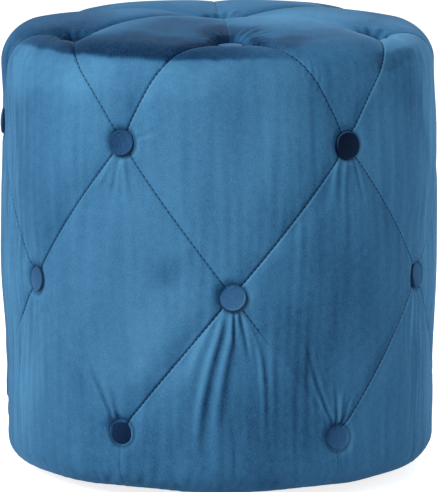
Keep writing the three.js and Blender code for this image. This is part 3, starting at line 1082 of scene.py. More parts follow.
class Nodes:
    """A tree of nodes that the script fills."""

    def __init__(self, tree: bpy.types.NodeTree) -> None:
        """Starts with an empty tree."""
        self.tree = tree
        tree.nodes.clear()

    def add(
        self, kind: str, settings: dict | None = None, inputs: dict | None = None
    ) -> bpy.types.Node:
        """Adds a node.

        Args:
            kind: The node's type.
            settings: Its settings, set first. "stops" are the stops of a ramp.
            inputs: Values, sockets or wires, by the input's name or number.

        Returns:
            The node.
        """
        made = self.tree.nodes.new(kind)
        for key, value in (settings or {}).items():
            if key == "stops":
                self._set_stops(made.color_ramp, value)
            else:
                setattr(made, key, value)
        for key, value in (inputs or {}).items():
            source = value.socket if isinstance(value, Wire) else value
            if isinstance(source, Socket):
                self.tree.links.new(source, made.inputs[key])
            else:
                made.inputs[key].default_value = source
        return made

    @staticmethod
    def _set_stops(ramp: bpy.types.ColorRamp, stops: list[tuple[float, tuple]]) -> None:
        """Gives a colour ramp its stops."""
        while len(ramp.elements) < len(stops):
            ramp.elements.new(1.0)
        for element, (position, colour) in zip(ramp.elements, stops):
            element.position = position
            element.color = (*colour, 1.0)


class Bench(Nodes):
    """Builds one material's nodes."""

    def __init__(self, name: str) -> None:
        """Starts an empty material."""
        self.material = bpy.data.materials.new(name)
        self.material.use_nodes = True
        super().__init__(self.material.node_tree)

    def node(
        self, kind: str, settings: dict | None = None, inputs: dict | None = None, output: str | int = 0
    ) -> Wire:
        """Adds a node and returns the chosen output."""
        return Wire(self, self.add(kind, settings, inputs).outputs[output])

    def place(self, stretch: tuple[float, float, float] = (1, 1, 1)) -> Wire:
        """Object coordinates, stretched."""
        where = self.node("ShaderNodeTexCoord", output="Object")
        return self.node("ShaderNodeMapping", {}, {"Vector": where, "Scale": stretch}, "Vector")

    def noise(
        self, scale: float, stretch: tuple[float, float, float] = (1, 1, 1), detail: float = 3.0
    ) -> Wire:
        """Noise over the piece."""
        sockets = {"Vector": self.place(stretch), "Scale": scale, "Detail": detail}
        return self.node("ShaderNodeTexNoise", {"noise_dimensions": "3D"}, sockets, "Fac")

    def attribute(self, name: str) -> Wire:
        """A value stored on the piece's points."""
        settings = {"attribute_type": "GEOMETRY", "attribute_name": name}
        return self.node("ShaderNodeAttribute", settings, output="Fac")

    def ramp(self, factor: Wire, stops: list[tuple[float, tuple]]) -> Wire:
        """A colour chosen by a value."""
        return self.node("ShaderNodeValToRGB", {"stops": stops}, {"Fac": factor}, "Color")

    def blend(self, factor: Wire, first: Wire | tuple, second: Wire | tuple) -> Wire:
        """Two colours mixed."""
        settings = {"data_type": "RGBA", "blend_type": "MIX"}
        return self.node("ShaderNodeMix", settings, {"Factor": factor, 6: first, 7: second}, 2)

    def bump(self, height: Wire, distance: float, strength: float = 1.0) -> Wire:
        """Small relief."""
        sockets = {"Height": height, "Distance": distance, "Strength": strength}
        return self.node("ShaderNodeBump", {}, sockets, "Normal")

    def surface(self, sockets: dict) -> Material:
        """Finishes the material with one shader."""
        shader = self.node("ShaderNodeBsdfPrincipled", {}, sockets, "BSDF")
        self.node_output(shader)
        return self.material

    def node_output(self, shader: Wire) -> None:
        """Links a shader to the material's surface."""
        self.add("ShaderNodeOutputMaterial", {}, {"Surface": shader})


def linear(red: int, green: int, blue: int) -> Colour:
    """A colour from the three numbers of an sRGB one."""

    def part(value: int) -> float:
        """One channel."""
        share = value / 255
        return share / 12.92 if share <= 0.04045 else ((share + 0.055) / 1.055) ** 2.4

    return part(red), part(green), part(blue)


@dataclass(frozen=True)
class VelvetFinish:
    """Short, shiny pile that reads dark or light by the way it was brushed, with painted light and shade
    carried in the tone and shade stored on the piece.
    """

    name: str
    deep: Colour = linear(6, 34, 68)
    shade: Colour = linear(40, 84, 122)
    body: Colour = linear(60, 115, 157)
    light: Colour = linear(94, 158, 200)
    streaks: float = 0.1
    blotches: float = 0.14
    grain: float = 0.5

    def make(self) -> Material:
        """Builds the material."""
        bench = Bench(self.name)
        streak = bench.noise(1.0, (170, 170, 9), 4.0)
        blotch = bench.noise(17.0, (1, 1, 0.6), 2.0)
        grain = bench.noise(1.0, (1100, 1100, 700), 2.0)
        # The stored tone holds the pile's brushing and painted light and shade
        tone = 0.5 + 0.5 * bench.attribute("nap")
        tone = tone + self.streaks * (streak - 0.5) + self.blotches * (blotch - 0.5)
        tone = tone + self.grain * (grain - 0.5)
        colour = bench.ramp(
            tone, [(0.0, self.deep), (0.27, self.shade), (0.5, self.body), (1.0, self.light)]
        )
        # Painted shade in the seams and round the buttons
        crease = bench.attribute("crease")
        dark = bench.blend(0.7 * crease, colour, (*self.deep, 1.0))
        pile = bench.noise(1.0, (1500, 1500, 1500), 2.0)
        relief = 0.6 * pile + 0.4 * bench.noise(1.0, (420, 420, 60), 3.0)
        return bench.surface(
            {
                "Base Color": dark,
                "Roughness": 0.72 + 0.15 * grain,
                "Specular IOR Level": 0.05,
                "Sheen Weight": 0.3,
                "Sheen Roughness": 0.38,
                "Sheen Tint": (0.28, 0.6, 1.0, 1.0),
                "Normal": bench.bump(relief, 0.00025, 0.6),
            }
        )


@dataclass(frozen=True)
class ThreadFinish:
    """Twisted sewing thread."""

    name: str
    colour: Colour = linear(6, 28, 62)

    def make(self) -> Material:
        """Builds the material."""
        bench = Bench(self.name)
        twist = bench.noise(2600.0, detail=1.0)
        paler = tuple(min(1.0, 1.5 * part) for part in self.colour)
        colour = bench.blend(twist, (*self.colour, 1.0), (*paler, 1.0))
        return bench.surface(
            {"Base Color": colour, "Roughness": 0.6 + 0.2 * twist, "Specular IOR Level": 0.1}
        )


class Grain(Enum):
    """Which way the fibres of a sheet of wood run."""

    BOARD = (40.0, 3.0, 40.0)
    POST = (60.0, 60.0, 4.0)
    PRESSED = (90.0, 90.0, 90.0)


@dataclass(frozen=True)
class WoodFinish:
    """Bare wood or board."""

    name: str
    pale: Colour
    dark: Colour
    grain: Grain

    def make(self) -> Material:
        """Builds the material."""
        bench = Bench(self.name)
        figure = bench.noise(1.0, self.grain.value, 5.0)
        pores = bench.noise(1.0, tuple(9 * part for part in self.grain.value), 2.0)
        mark = 0.75 * figure + 0.25 * pores
        colour = bench.ramp(mark, [(0.3, self.dark), (0.65, self.pale)])
        relief = bench.bump(mark, 0.0004, 0.5)
        return bench.surface({"Base Color": colour, "Roughness": 0.6 + 0.25 * pores, "Normal": relief})


@dataclass(frozen=True)
class PaddingFinish:
    """Foam or wadding: pale, soft and full of cells or fibres."""

    name: str
    pale: Colour
    dark: Colour
    cell: float

    def make(self) -> Material:
        """Builds the material."""
        bench = Bench(self.name)
        cells = bench.noise(1000.0 / self.cell, detail=4.0)
        colour = bench.ramp(cells, [(0.35, self.dark), (0.6, self.pale)])
        relief = bench.bump(cells, 0.0006, 0.7)
        return bench.surface({"Base Color": colour, "Roughness": 0.85 + 0.1 * cells, "Normal": relief})


@dataclass(frozen=True)
class NonWovenFinish:
    """Thin black non-woven cloth with pressed dots."""

    name: str
    colour: Colour = linear(24, 25, 28)
    pressed: Colour = linear(40, 41, 45)
    dots: float = 900.0

    def make(self) -> Material:
        """Builds the material."""
        bench = Bench(self.name)
        where = bench.place((1, 1, 0.001))
        settings = {"voronoi_dimensions": "3D", "feature": "F1"}
        sockets = {"Vector": where, "Scale": self.dots, "Randomness": 0.25}
        dot = bench.node("ShaderNodeTexVoronoi", settings, sockets, "Distance")
        fibres = bench.noise(260.0, detail=5.0)
        colour = bench.ramp(dot + 0.4 * fibres, [(0.3, self.pressed), (0.62, self.colour)])
        relief = bench.bump(dot + 0.5 * fibres, 0.00015, 0.6)
        return bench.surface({"Base Color": colour, "Roughness": 0.8 + 0.15 * fibres, "Normal": relief})


@dataclass(frozen=True)
class HardFinish:
    """Moulded nylon or plated steel, with fine marks of wear."""

    name: str
    colour: Colour
    worn: Colour
    roughness: float
    metallic: float = 0.0

    def make(self) -> Material:
        """Builds the material."""
        bench = Bench(self.name)
        wear = bench.noise(190.0, detail=6.0)
        fine = bench.noise(1400.0, detail=2.0)
        colour = bench.ramp(wear, [(0.45, self.colour), (0.75, self.worn)])
        return bench.surface(
            {
                "Base Color": colour,
                "Metallic": self.metallic,
                "Roughness": self.roughness + 0.2 * (wear - 0.5),
                "Normal": bench.bump(fine, 0.00005, 0.5),
            }
        )


class Finishes:
    """All the finishes of the tuffet, made once."""

    def __init__(self) -> None:
        """Builds every material."""
        self.velvet = VelvetFinish("crushed velvet").make()
        self.button_velvet = VelvetFinish(
            "button velvet",
            deep=linear(10, 24, 46),
            shade=linear(20, 46, 80),
            body=linear(44, 86, 128),
            light=linear(76, 124, 168),
            streaks=0.05,
        ).make()
        self.thread = ThreadFinish("sewing thread").make()
        self.wadding = PaddingFinish(
            "wadding", linear(244, 243, 238), linear(218, 217, 210), 2.4
        ).make()
        self.foam = PaddingFinish("foam", linear(236, 226, 184), linear(206, 190, 138), 0.9).make()
        pale, dark = linear(146, 112, 78), linear(104, 74, 48)
        self.hardboard = WoodFinish("hardboard", pale, dark, Grain.PRESSED).make()
        pale, dark = linear(212, 180, 134), linear(168, 132, 86)
        self.plywood = WoodFinish("plywood", pale, dark, Grain.BOARD).make()
        pale, dark = linear(226, 194, 144), linear(180, 140, 88)
        self.pine = WoodFinish("pine", pale, dark, Grain.POST).make()
        self.dust_cloth = NonWovenFinish("non-woven").make()
        self.nylon = HardFinish("nylon", linear(28, 28, 30), linear(58, 58, 60), 0.46).make()
        bright, worn = linear(176, 178, 182), linear(120, 118, 114)
        self.steel = HardFinish("plated steel", bright, worn, 0.34, 1.0).make()


def dress(piece: Piece, *materials: Material) -> None:
    """Puts materials into a piece's slots, in order."""
    piece.data.materials.clear()
    for material in materials:
        piece.data.materials.append(material)


# Velvet cover


@dataclass(frozen=True)
class ClothPull:
    """Cloth simulation that lets the cover settle between its buttons."""

    columns: int = 26
    skirt_rows: int = 22
    frames: int = 18
    pressure: float = 0.7
    slack: float = -0.004
    cap: float = 1.1
    evening: int = 4
    seam_hold: float = 2.4
    button_hold: float = 10.5
    hem_hold: float = 45.0

    def settle(self, tufting: Tufting, fine: Sheet) -> Array:
        """Runs the cloth on a coarse copy of the cover.

        Args:
            tufting: The shape of the velvet.
            fine: The fine cover that takes the movement.

        Returns:
            How far each point of the fine cover moves.
        """
        coarse = Sheet(tufting, self.columns, self.skirt_rows)
        piece = new_piece("cloth_copy", coarse.points(), coarse.quads)
        held = piece.vertex_groups.new(name="held")
        for index, weight in enumerate(self._held(coarse)):
            if weight > 0.01:
                held.add([index], float(weight), "REPLACE")
        move = self._run(piece) - coarse.points()
        bpy.data.objects.remove(piece)
        size = np.linalg.norm(move, axis=1, keepdims=True)
        move *= np.tanh(size / self.cap) * self.cap / np.maximum(size, 1e-6)
        total = np.zeros_like(fine.base)
        for (_, index), (_, fine_index) in zip(coarse.grids(), fine.grids()):
            part = move[index]
            for _ in range(self.evening):
                beside = part[:-2, 1:-1] + part[2:, 1:-1] + part[1:-1, :-2] + part[1:-1, 2:]
                part[1:-1, 1:-1] = 0.5 * part[1:-1, 1:-1] + 0.125 * beside
            rows, columns = fine_index.shape
            spread = np.einsum("ij,jkc->ikc", catmull(part.shape[0], rows), part)
            total[fine_index] = np.einsum("ij,kjc->kic", catmull(part.shape[1], columns), spread)
        return total

    def _held(self, coarse: Sheet) -> Array:
        """How firmly each point of the coarse cover is held."""
        outline = coarse.tufting.outline
        weights = np.clip(self.seam_hold * coarse.crease, 0, 1)
        for spot in coarse.tufting.plan.buttons().values():
            gap = np.linalg.norm(coarse.base - outline.point(spot), axis=1)
            weights = np.maximum(weights, (gap < self.button_hold).astype(float))
        hem = coarse.flat[:, 1] > outline.length - self.hem_hold
        return np.where(hem, 1.0, weights)

    def _run(self, piece: Piece) -> Array:
        """Steps the simulation and reads the cloth's points, in millimetres."""
        scene = bpy.context.scene
        cloth = piece.modifiers.new("cloth", "CLOTH")
        settings = cloth.settings
        settings.quality = 5
        settings.mass = 0.35
        settings.tension_stiffness = 18
        settings.compression_stiffness = 12
        settings.shear_stiffness = 6
        settings.bending_stiffness = 1.2
        settings.use_pressure = True
        settings.uniform_pressure_force = self.pressure
        settings.shrink_min = self.slack
        settings.vertex_group_mass = "held"
        settings.pin_stiffness = 1.0
        settings.effector_weights.gravity = 0.0
        cloth.collision_settings.use_collision = False
        cloth.point_cache.frame_start = 1
        cloth.point_cache.frame_end = self.frames
        for step in range(1, self.frames + 1):
            scene.frame_set(step)
        graph = bpy.context.evaluated_depsgraph_get()
        settled = piece.evaluated_get(graph).to_mesh()
        points = np.empty(len(settled.vertices) * 3, dtype=np.float32)
        settled.vertices.foreach_get("co", points)
        piece.evaluated_get(graph).to_mesh_clear()
        scene.frame_set(1)
        return points.reshape(-1, 3).astype(float) / MM


def catmull(coarse: int, fine: int) -> Array:
    """Weights that spread values from a coarse line of points over a fine one."""
    weights = np.zeros((fine, coarse))
    for row, place in enumerate(np.linspace(0, coarse - 1, fine)):
        cell = min(int(place), coarse - 2)
        t = place - cell
        parts = (
            -0.5 * t + t * t - 0.5 * t**3,
            1 - 2.5 * t * t + 1.5 * t**3,
            0.5 * t + 2 * t * t - 1.5 * t**3,
            -0.5 * t * t + 0.5 * t**3,
        )
        for offset, part in zip((-1, 0, 1, 2), parts):
            weights[row, min(max(cell + offset, 0), coarse - 1)] += part
    return weights


@dataclass(frozen=True)
class ToneArea:
    """A broad area of the cover made lighter or darker, standing for pile stroked one way and, in some
    areas, for painted light and shade.
    """

    angle: float
    length: float
    half_angle: float
    half_length: float
    tone: float
    soft: float = 0.35

    def over(self, angle: Array, length: Array) -> Array:
        """What the area adds to the tone at places of the cover."""
        across = np.abs((angle - self.angle + 180) % 360 - 180) / self.half_angle
        down = np.abs(length - self.length) / self.half_length
        inside = smooth((1 + self.soft - across) / (2 * self.soft))
        return self.tone * inside * smooth((1 + self.soft - down) / (2 * self.soft))


# Angle, length, half angle, half length, tone and softness of each area. They stand for brushed pile
# and, where marked, for painted light and shade.
TONE_AREAS = (
    # Dark band over the front of the rim: partly pile, partly painted shade
    (-27, 178, 36, 27, -0.8, 0.5),
    (-18, 112, 20, 34, -0.5, 0.5),
    (-64, 142, 8, 20, -0.25, 0.5),
    # Painted shade round the front button of the top
    (8, 160, 7, 14, -0.6, 0.5),
    (19, 163, 8, 11, -0.35, 0.6),
    (33, 170, 18, 15, -0.15, 0.5),
    # Painted highlight on the top towards the back right
    (50, 76, 34, 40, 0.6, 0.6),
    (35, 150, 14, 14, -0.25, 0.5),
    # Painted shade in the pit of the front button of the top
    (6, 126, 12, 16, -0.6, 0.6),
    # This line and the next: painted sheen on the rim towards the right
    (78, 172, 14, 24, 0.35, 0.5),
    (57, 178, 8, 18, 0.3),
    (-90, 150, 28, 50, -0.4),
    (180, 165, 75, 32, -0.5),
    (110, 165, 30, 30, -0.3),
    (56, 200, 9, 9, -0.2),
    (-28, 211, 36, 15, 0.2, 0.5),
    (-68, 208, 8, 30, 0.35, 0.5),
    (-38, 330, 30, 150, 0.2, 0.6),
    (-2, 330, 18, 160, 0.1, 0.6),
    (17, 225, 9, 60, 0.12, 0.6),
    (15, 380, 8, 32, 0.15, 0.6),
    (25, 400, 8, 60, -0.08, 0.6),
    (17, 475, 8, 60, -0.18, 0.6),
    (5, 510, 8, 60, -0.14, 0.6),
    (-6, 520, 5, 60, 0.14, 0.6),
    (3, 560, 22, 70, -0.15, 0.5),
    (-13, 379, 4, 13, -0.3, 0.8),
    (-66, 470, 10, 110, 0.25, 0.6),
    (-58, 525, 9, 60, 0.2, 0.6),
    (-76, 400, 8, 100, 0.15, 0.6),
    (-17, 450, 6, 30, 0.18, 0.6),
    # Painted sheen down the right edge
    (77, 390, 9, 200, 0.28, 0.5),
    (-56, 290, 10, 75, -0.2, 0.6),
    (-38, 214, 9, 24, 0.25, 0.6),
    (57, 218, 8, 26, -0.2, 0.6),
    (38, 255, 6, 26, -0.15, 0.6),
    (-77, 208, 8, 26, -0.25, 0.6),
    (150, 380, 30, 120, -0.25, 0.6),
    (-140, 420, 35, 110, 0.2, 0.6),
)


# How much lighter each sewn panel is, by the row above it and its half column: partly the pile of each
# panel, partly painted light and shade
PANEL_TONES = {
    ("upper", 1): -0.1,
    ("crown", 1): 0.02,
    ("upper", 11): 0.06,
    ("top", 0): 0.04,
    ("top", 2): 0.05,
    ("top", 10): 0.08,
    ("skirt", 2): -0.08,
    ("top", 4): -0.15,
    ("upper", 5): 0.15,
    ("upper", 7): -0.12,
    ("skirt", 6): 0.1,
    ("top", 8): 0.12,
}


@dataclass(frozen=True)
class NapAndLight:
    """Where the pile lies dark or light, and where light and shade are painted onto it."""

    rim_edge: float = 192.9
    rim_softness: float = 5.0
    # Direction towards the light, from the front left and above, that the painted light and shade below
    # follow
    lean: tuple[float, float, float] = (-0.78, -0.25, 0.57)
    painted_light_gain: float = 2.0
    painted_light_threshold: float = 0.07
    side_start: float = 185.0
    upright_tone: float = 0.17
    fine_tone: float = 0.06
    speckle_tone: float = 0.04
    streaked_from: tuple[float, float] = (52.0, 14.0)
    calmer_behind: tuple[float, float, float] = (0.55, 95.0, 30.0)
    areas: tuple[ToneArea, ...] = tuple(ToneArea(*sizes) for sizes in TONE_AREAS)

    def tones(self, sheet: Sheet, normals: Array) -> Array:
        """Tone of each point, from -1 for dark to 1 for light: the pile's brushing together with painted
        light and shade.

        Args:
            sheet: The cover.
            normals: Outward directions of its finished surface.

        Returns:
            One tone for each of its points.
        """
        points = sheet.base
        angle = sheet.flat[:, 0] + 1.2 * ripple(points, 50, 31)
        length = sheet.flat[:, 1]
        edge = self.rim_edge + 0.9 * ripple(points, 40, 33) + 0.5 * ripple(points, 11, 35)
        above = smooth((edge - length) / self.rim_softness + 0.5)
        below = 1 - above
        length = length + 5 * ripple(points, 45, 37)
        tone = np.zeros(len(points))
        for area in self.areas:
            part = area.over(angle, length)
            tone += part * (above if area.length < self.rim_edge - 5 else below)
        side = smooth((sheet.flat[:, 1] - self.side_start) / 20)
        upright = ripple(points * [1, 1, 0.06], 5.5, 43, 16)
        turn = np.abs((angle + 180) % 360 - 180)
        start, fade = self.streaked_from
        edges = smooth((turn - start) / fade)
        share, start, fade = self.calmer_behind
        edges = edges * (1 - share * smooth((turn - start) / fade))
        tone += side * self.upright_tone * upright * edges
        tone += side * self.fine_tone * ripple(points * [1, 1, 0.1], 9, 44, 14)
        tone += side * self.fine_tone * ripple(points * [1, 1, 0.5], 60, 41)
        tone += self.speckle_tone * ripple(points, 7, 45, 14)
        # Painted light and shade: lighter where the velvet tilts towards that light, darker where it
        # tilts away
        tilt_to_light = (normals - sheet.normals) @ np.array(self.lean)
        tone += self.painted_light_gain * tilt_to_light * np.abs(tilt_to_light) / (np.abs(tilt_to_light) + self.painted_light_threshold)
        return np.clip(tone + self._panel_tones(sheet), -1, 1)

    @staticmethod
    def _panel_tones(sheet: Sheet) -> Array:
        """The tone of each sewn panel: partly its own cut and stroke of the pile, partly painted light
        and shade.
        """
        tone = np.zeros(len(sheet.base))
        for cushion, index in sheet.grids():
            tone[index] = PANEL_TONES.get(cushion.panel, 0.0)
        return tone


@dataclass
class VelvetCover:
    """The sewn cover, with its stitches."""

    finishes: Finishes
    tufting: Tufting = Tufting()
    columns: int = 84
    skirt_rows: int = 66
    fill: float = 0.85
    stitched_pull: float = 0.5
    # Tone of the pile, with painted light and shade
    nap: NapAndLight = NapAndLight()
    pull: ClothPull = ClothPull()

    def build(self) -> Piece:
        """Makes and dresses the cover.

        Returns:
            The finished piece.
        """
        self.sheet = Sheet(self.tufting, self.columns, self.skirt_rows)
        self.surface = self.sheet.points()
        self.surface = self.surface + self.pull.settle(self.tufting, self.sheet)
        piece = new_piece("sewn_cover", self.surface, self.sheet.quads)
        normals = np.empty(3 * len(self.surface), dtype=np.float32)
        piece.data.vertices.foreach_get("normal", normals)
        # Stored tone: the pile's brushing with painted light and shade
        paint(piece, "nap", self.nap.tones(self.sheet, normals.reshape(-1, 3)))
        # Crease value: painted shade in the seams and round the buttons
        paint(piece, "crease", self.sheet.crease)
        dress(piece, self.finishes.velvet)
        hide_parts("velvet_cover")
        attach(piece, "root")
        return piece

    def seam_lines(self) -> list[tuple[Array, Array]]:
        """Points and outward directions along every stitched edge of the finished cover."""
        lines, seen = [], set()
        for cushion, index in self.sheet.grids():
            edges = (
                (cushion.top, index[0]),
                (cushion.bottom, index[-1]),
                (cushion.left, index[:, 0]),
                (cushion.right, index[:, -1]),
            )
            for seam, line in edges:
                key = (min(line[0], line[-1]), max(line[0], line[-1]))
                if seam.stitched and key not in seen:
                    seen.add(key)
                    line = line[seam.pull(graded(len(line) - 1)) > self.stitched_pull]
                    if len(line) > 3:
                        lines.append((self.surface[line], self.sheet.normals[line]))
        return lines


class Rig(Nodes):
    """Builds one tree of geometry nodes."""

    def __init__(self, name: str) -> None:
        """Starts a tree with one geometry input and one geometry output."""
        super().__init__(bpy.data.node_groups.new(name, "GeometryNodeTree"))
        self.tree.interface.new_socket("Geometry", in_out="INPUT", socket_type="NodeSocketGeometry")
        self.tree.interface.new_socket("Geometry", in_out="OUTPUT", socket_type="NodeSocketGeometry")
        self.start = self.tree.nodes.new("NodeGroupInput")
        self.values: dict[str, float] = {}

    def size(self, name: str, value: float, kind: str = "NodeSocketFloat") -> Socket:
        """Adds a named input and returns its socket."""
        made = self.tree.interface.new_socket(name, in_out="INPUT", socket_type=kind)
        self.values[made.identifier] = value
        return self.start.outputs[name]

    def node(
        self, kind: str, settings: dict | None = None, inputs: dict | None = None, output: str | int = 0
    ) -> Socket:
        """Adds a node and returns the chosen output."""
        return self.add(kind, settings, inputs).outputs[output]

    def points_along(self, pitch: Socket) -> Socket:
        """Evenly spaced points along the piece's own lines."""
        curve = self.node("GeometryNodeMeshToCurve", {}, {"Mesh": self.start.outputs["Geometry"]})
        inputs = {"Curve": curve, "Length": pitch}
        return self.node("GeometryNodeResampleCurve", {"mode": "LENGTH"}, inputs)

    def swept(self, path: Socket, radius: Socket, capped: bool) -> Socket:
        """A round wire along a path."""
        inputs = {"Resolution": 6, "Radius": radius}
        section = self.node("GeometryNodeCurvePrimitiveCircle", {}, inputs)
        inputs = {"Curve": path, "Profile Curve": section, "Fill Caps": capped}
        return self.node("GeometryNodeCurveToMesh", {}, inputs)

    def upright(self) -> Socket:
        """The rotation with X along the line and Z the way that its points face."""
        tangent = self.node("GeometryNodeInputTangent")
        kind = {"data_type": "FLOAT_VECTOR"}
        facing = self.node("GeometryNodeInputNamedAttribute", kind, {"Name": "facing"})
        align = "FunctionNodeAlignRotationToVector"
        along = self.node(align, {"axis": "X"}, {"Vector": tangent})
        inputs = {"Rotation": along, "Vector": facing}
        return self.node(align, {"axis": "Z", "pivot_axis": "X"}, inputs)

    def finish(self, points: Socket, shape: Socket, rotation: Socket, material: Material) -> None:
        """Ends the tree in real copies of a shape on points, with a material.

        Args:
            points: Where the copies go.
            shape: What is copied.
            rotation: How each copy is turned.
            material: The finish of the copies.
        """
        inputs = {"Points": points, "Instance": shape, "Rotation": rotation}
        placed = self.node("GeometryNodeInstanceOnPoints", {}, inputs)
        real = self.node("GeometryNodeRealizeInstances", {}, {"Geometry": placed})
        dressed = self.node("GeometryNodeSetMaterial", {}, {"Geometry": real, "Material": material})
        self.add("NodeGroupOutput", {}, {"Geometry": dressed})

    def apply(self, piece: Piece) -> None:
        """Runs the tree on a piece and keeps the result as its plain mesh."""
        made = piece.modifiers.new(self.tree.name, "NODES")
        made.node_group = self.tree
        for identifier, value in self.values.items():
            made[identifier] = value
        graph = bpy.context.evaluated_depsgraph_get()
        mesh = bpy.data.meshes.new_from_object(piece.evaluated_get(graph), depsgraph=graph)
        piece.modifiers.remove(made)
        piece.data = mesh


def line_piece(name: str, lines: list[tuple[Array, Array]]) -> Piece:
    """A piece of bare edges that also stores which way its points face.

    Args:
        name: The piece's name.
        lines: Points and outward directions of each line.

    Returns:
        The new object.
    """
    points = np.concatenate([line for line, _ in lines]) * MM
    facing = np.concatenate([normals for _, normals in lines])
    edges, start = [], 0
    for line, _ in lines:
        edges += [(start + i, start + i + 1) for i in range(len(line) - 1)]
        start += len(line)
    mesh = bpy.data.meshes.new(name)
    mesh.from_pydata(points.tolist(), edges, [])
    layer = mesh.attributes.new("facing", "FLOAT_VECTOR", "POINT")
    layer.data.foreach_set("vector", facing.astype(np.float32).ravel())
    return show(name, mesh)


@dataclass
class Stitching:
    """Lockstitches along every seam of the cover."""

    finishes: Finishes
    pitch: float = 4.6
    stitch_length: float = 2.9
    thread_radius: float = 0.4
    rise: float = 0.35
    arch: float = 0.45
    sunk: float = 0.5
    clear_of_button: float = 12.0

    def build(self, cover: VelvetCover) -> Piece:
        """Sews the stitches into the finished cover.

        Args:
            cover: The cover, already built.

        Returns:
            The finished piece.
        """
        lines = [self._lifted(*line) for line in cover.seam_lines()]
        piece = line_piece("seam_stitches", lines)
        self._rig().apply(piece)
        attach(piece, "root")
        return piece

    def _lifted(self, points: Array, normals: Array) -> tuple[Array, Array]:
        """A seam's line, laid on the bottom of its groove, clear of the buttons."""
        size = np.concatenate([[0.0], np.cumsum(np.linalg.norm(np.diff(points, axis=0), axis=1))])
        kept = (size > self.clear_of_button) & (size < size[-1] - self.clear_of_button)
        return (points + normals * self.rise)[kept], normals[kept]

    def _rig(self) -> Rig:
        """The tree that sets stitches along lines."""
        rig = Rig("stitches along seams")
        pitch = rig.size("Pitch", self.pitch * MM)
        radius = rig.size("Thread radius", self.thread_radius * MM)
        half = self.stitch_length / 2 * MM
        bow = rig.node(
            "GeometryNodeCurveQuadraticBezier",
            {},
            {
                "Resolution": 4,
                "Start": (-half, 0, -self.sunk * MM),
                "Middle": (0, 0, self.arch * MM),
                "End": (half, 0, -self.sunk * MM),
            },
        )
        thread = rig.swept(bow, radius, True)
        smooth_thread = rig.node("GeometryNodeSetShadeSmooth", {}, {"Geometry": thread})
        rig.finish(rig.points_along(pitch), smooth_thread, rig.upright(), self.finishes.thread)
        return rig


# Padding under the cover


@dataclass
class Wadding:
    """The layer of polyester wadding right under the velvet."""

    finishes: Finishes
    tufting: Tufting = Tufting()
    depth: float = 3.6
    thickness: float = 4.0
    columns: int = 20
    skirt_rows: int = 16
    clear_of_hem: float = 45.0
    fill: float = 0.5

    def build(self) -> Piece:
        """Makes and dresses the wadding.

        Returns:
            The finished piece.
        """
        sheet = Sheet(self.tufting, self.columns, self.skirt_rows)
        under = self.tufting.outline.length - sheet.flat[:, 1] < self.clear_of_hem
        quads = sheet.quads[~under[sheet.quads].all(1)]
        piece = new_piece("wadding_layer", sheet.points(self.depth), quads)
        wall = piece.modifiers.new("thickness", "SOLIDIFY")
        wall.thickness = self.thickness * MM
        wall.offset = -1
        dress(piece, self.finishes.wadding)
        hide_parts("wadding")
        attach(piece, "root")
        return piece


# Covered buttons


# Sink, lean, tone, glint and glow (angle and strength of a painted highlight inside the rim) and radius
# of the buttons that have looks of their own
BUTTON_LOOKS = {
    "button_top_1": (-0.6, (0, 0), 0.5),
    "button_top_2": (6.0, (3, 0), -0.8),
    "button_top_6": (6.0, (-3, 0), -0.8),
    "button_middle_1": (0.6, (-9, 20), 0.35, -45, 1.5, 12.7),
    "button_upper_6": (1.2, (4, 11), -0.1, 160, 0.3, 12.4),
    "button_upper_1": (1.0, (-2, 12), -0.95, 125, 2.2, 13.4),
    "button_lower_6": (1.2, (2, 8), -0.55, 150, 1.0, 12.4),
    "button_lower_1": (0.8, (-1, 9), 0.15, -60, 0.25, 11.9),
    "button_middle_6": (1.0, (-6, 4), 0.35, 180, 0.3),
    "button_upper_5": (-1.4, (0, 3)),
    "button_lower_5": (-0.4, (0, 3)),
    "button_middle_2": (1.0, (6, 5), 0.1, 0, 0.9),
}


@dataclass(frozen=True)
class ButtonLook:
    """How one button sits and shines: each is pulled in and leans a little differently."""

    sink: float = 1.2
    lean: tuple[float, float] = (0.0, 3.0)
    tone: float = 0.0
    # Angle and strength of the painted highlight inside the rim
    glint: float = 120.0
    glow: float = 0.5
    radius: float = 12.2

    @classmethod
    def of(cls, node: str, seed: int) -> "ButtonLook":
        """The look of one button.

        Args:
            node: The name of its solid.
            seed: Fixes the look of a button that has none of its own.

        Returns:
            The look.
        """
        if node in BUTTON_LOOKS:
            return cls(*BUTTON_LOOKS[node])
        draw = np.random.default_rng(seed)
        sink = 2.0 if "_top_" in node else 1.4
        return cls(sink, tuple(draw.normal(0, 2.5, 2)), float(draw.uniform(-0.5, 0.3)))


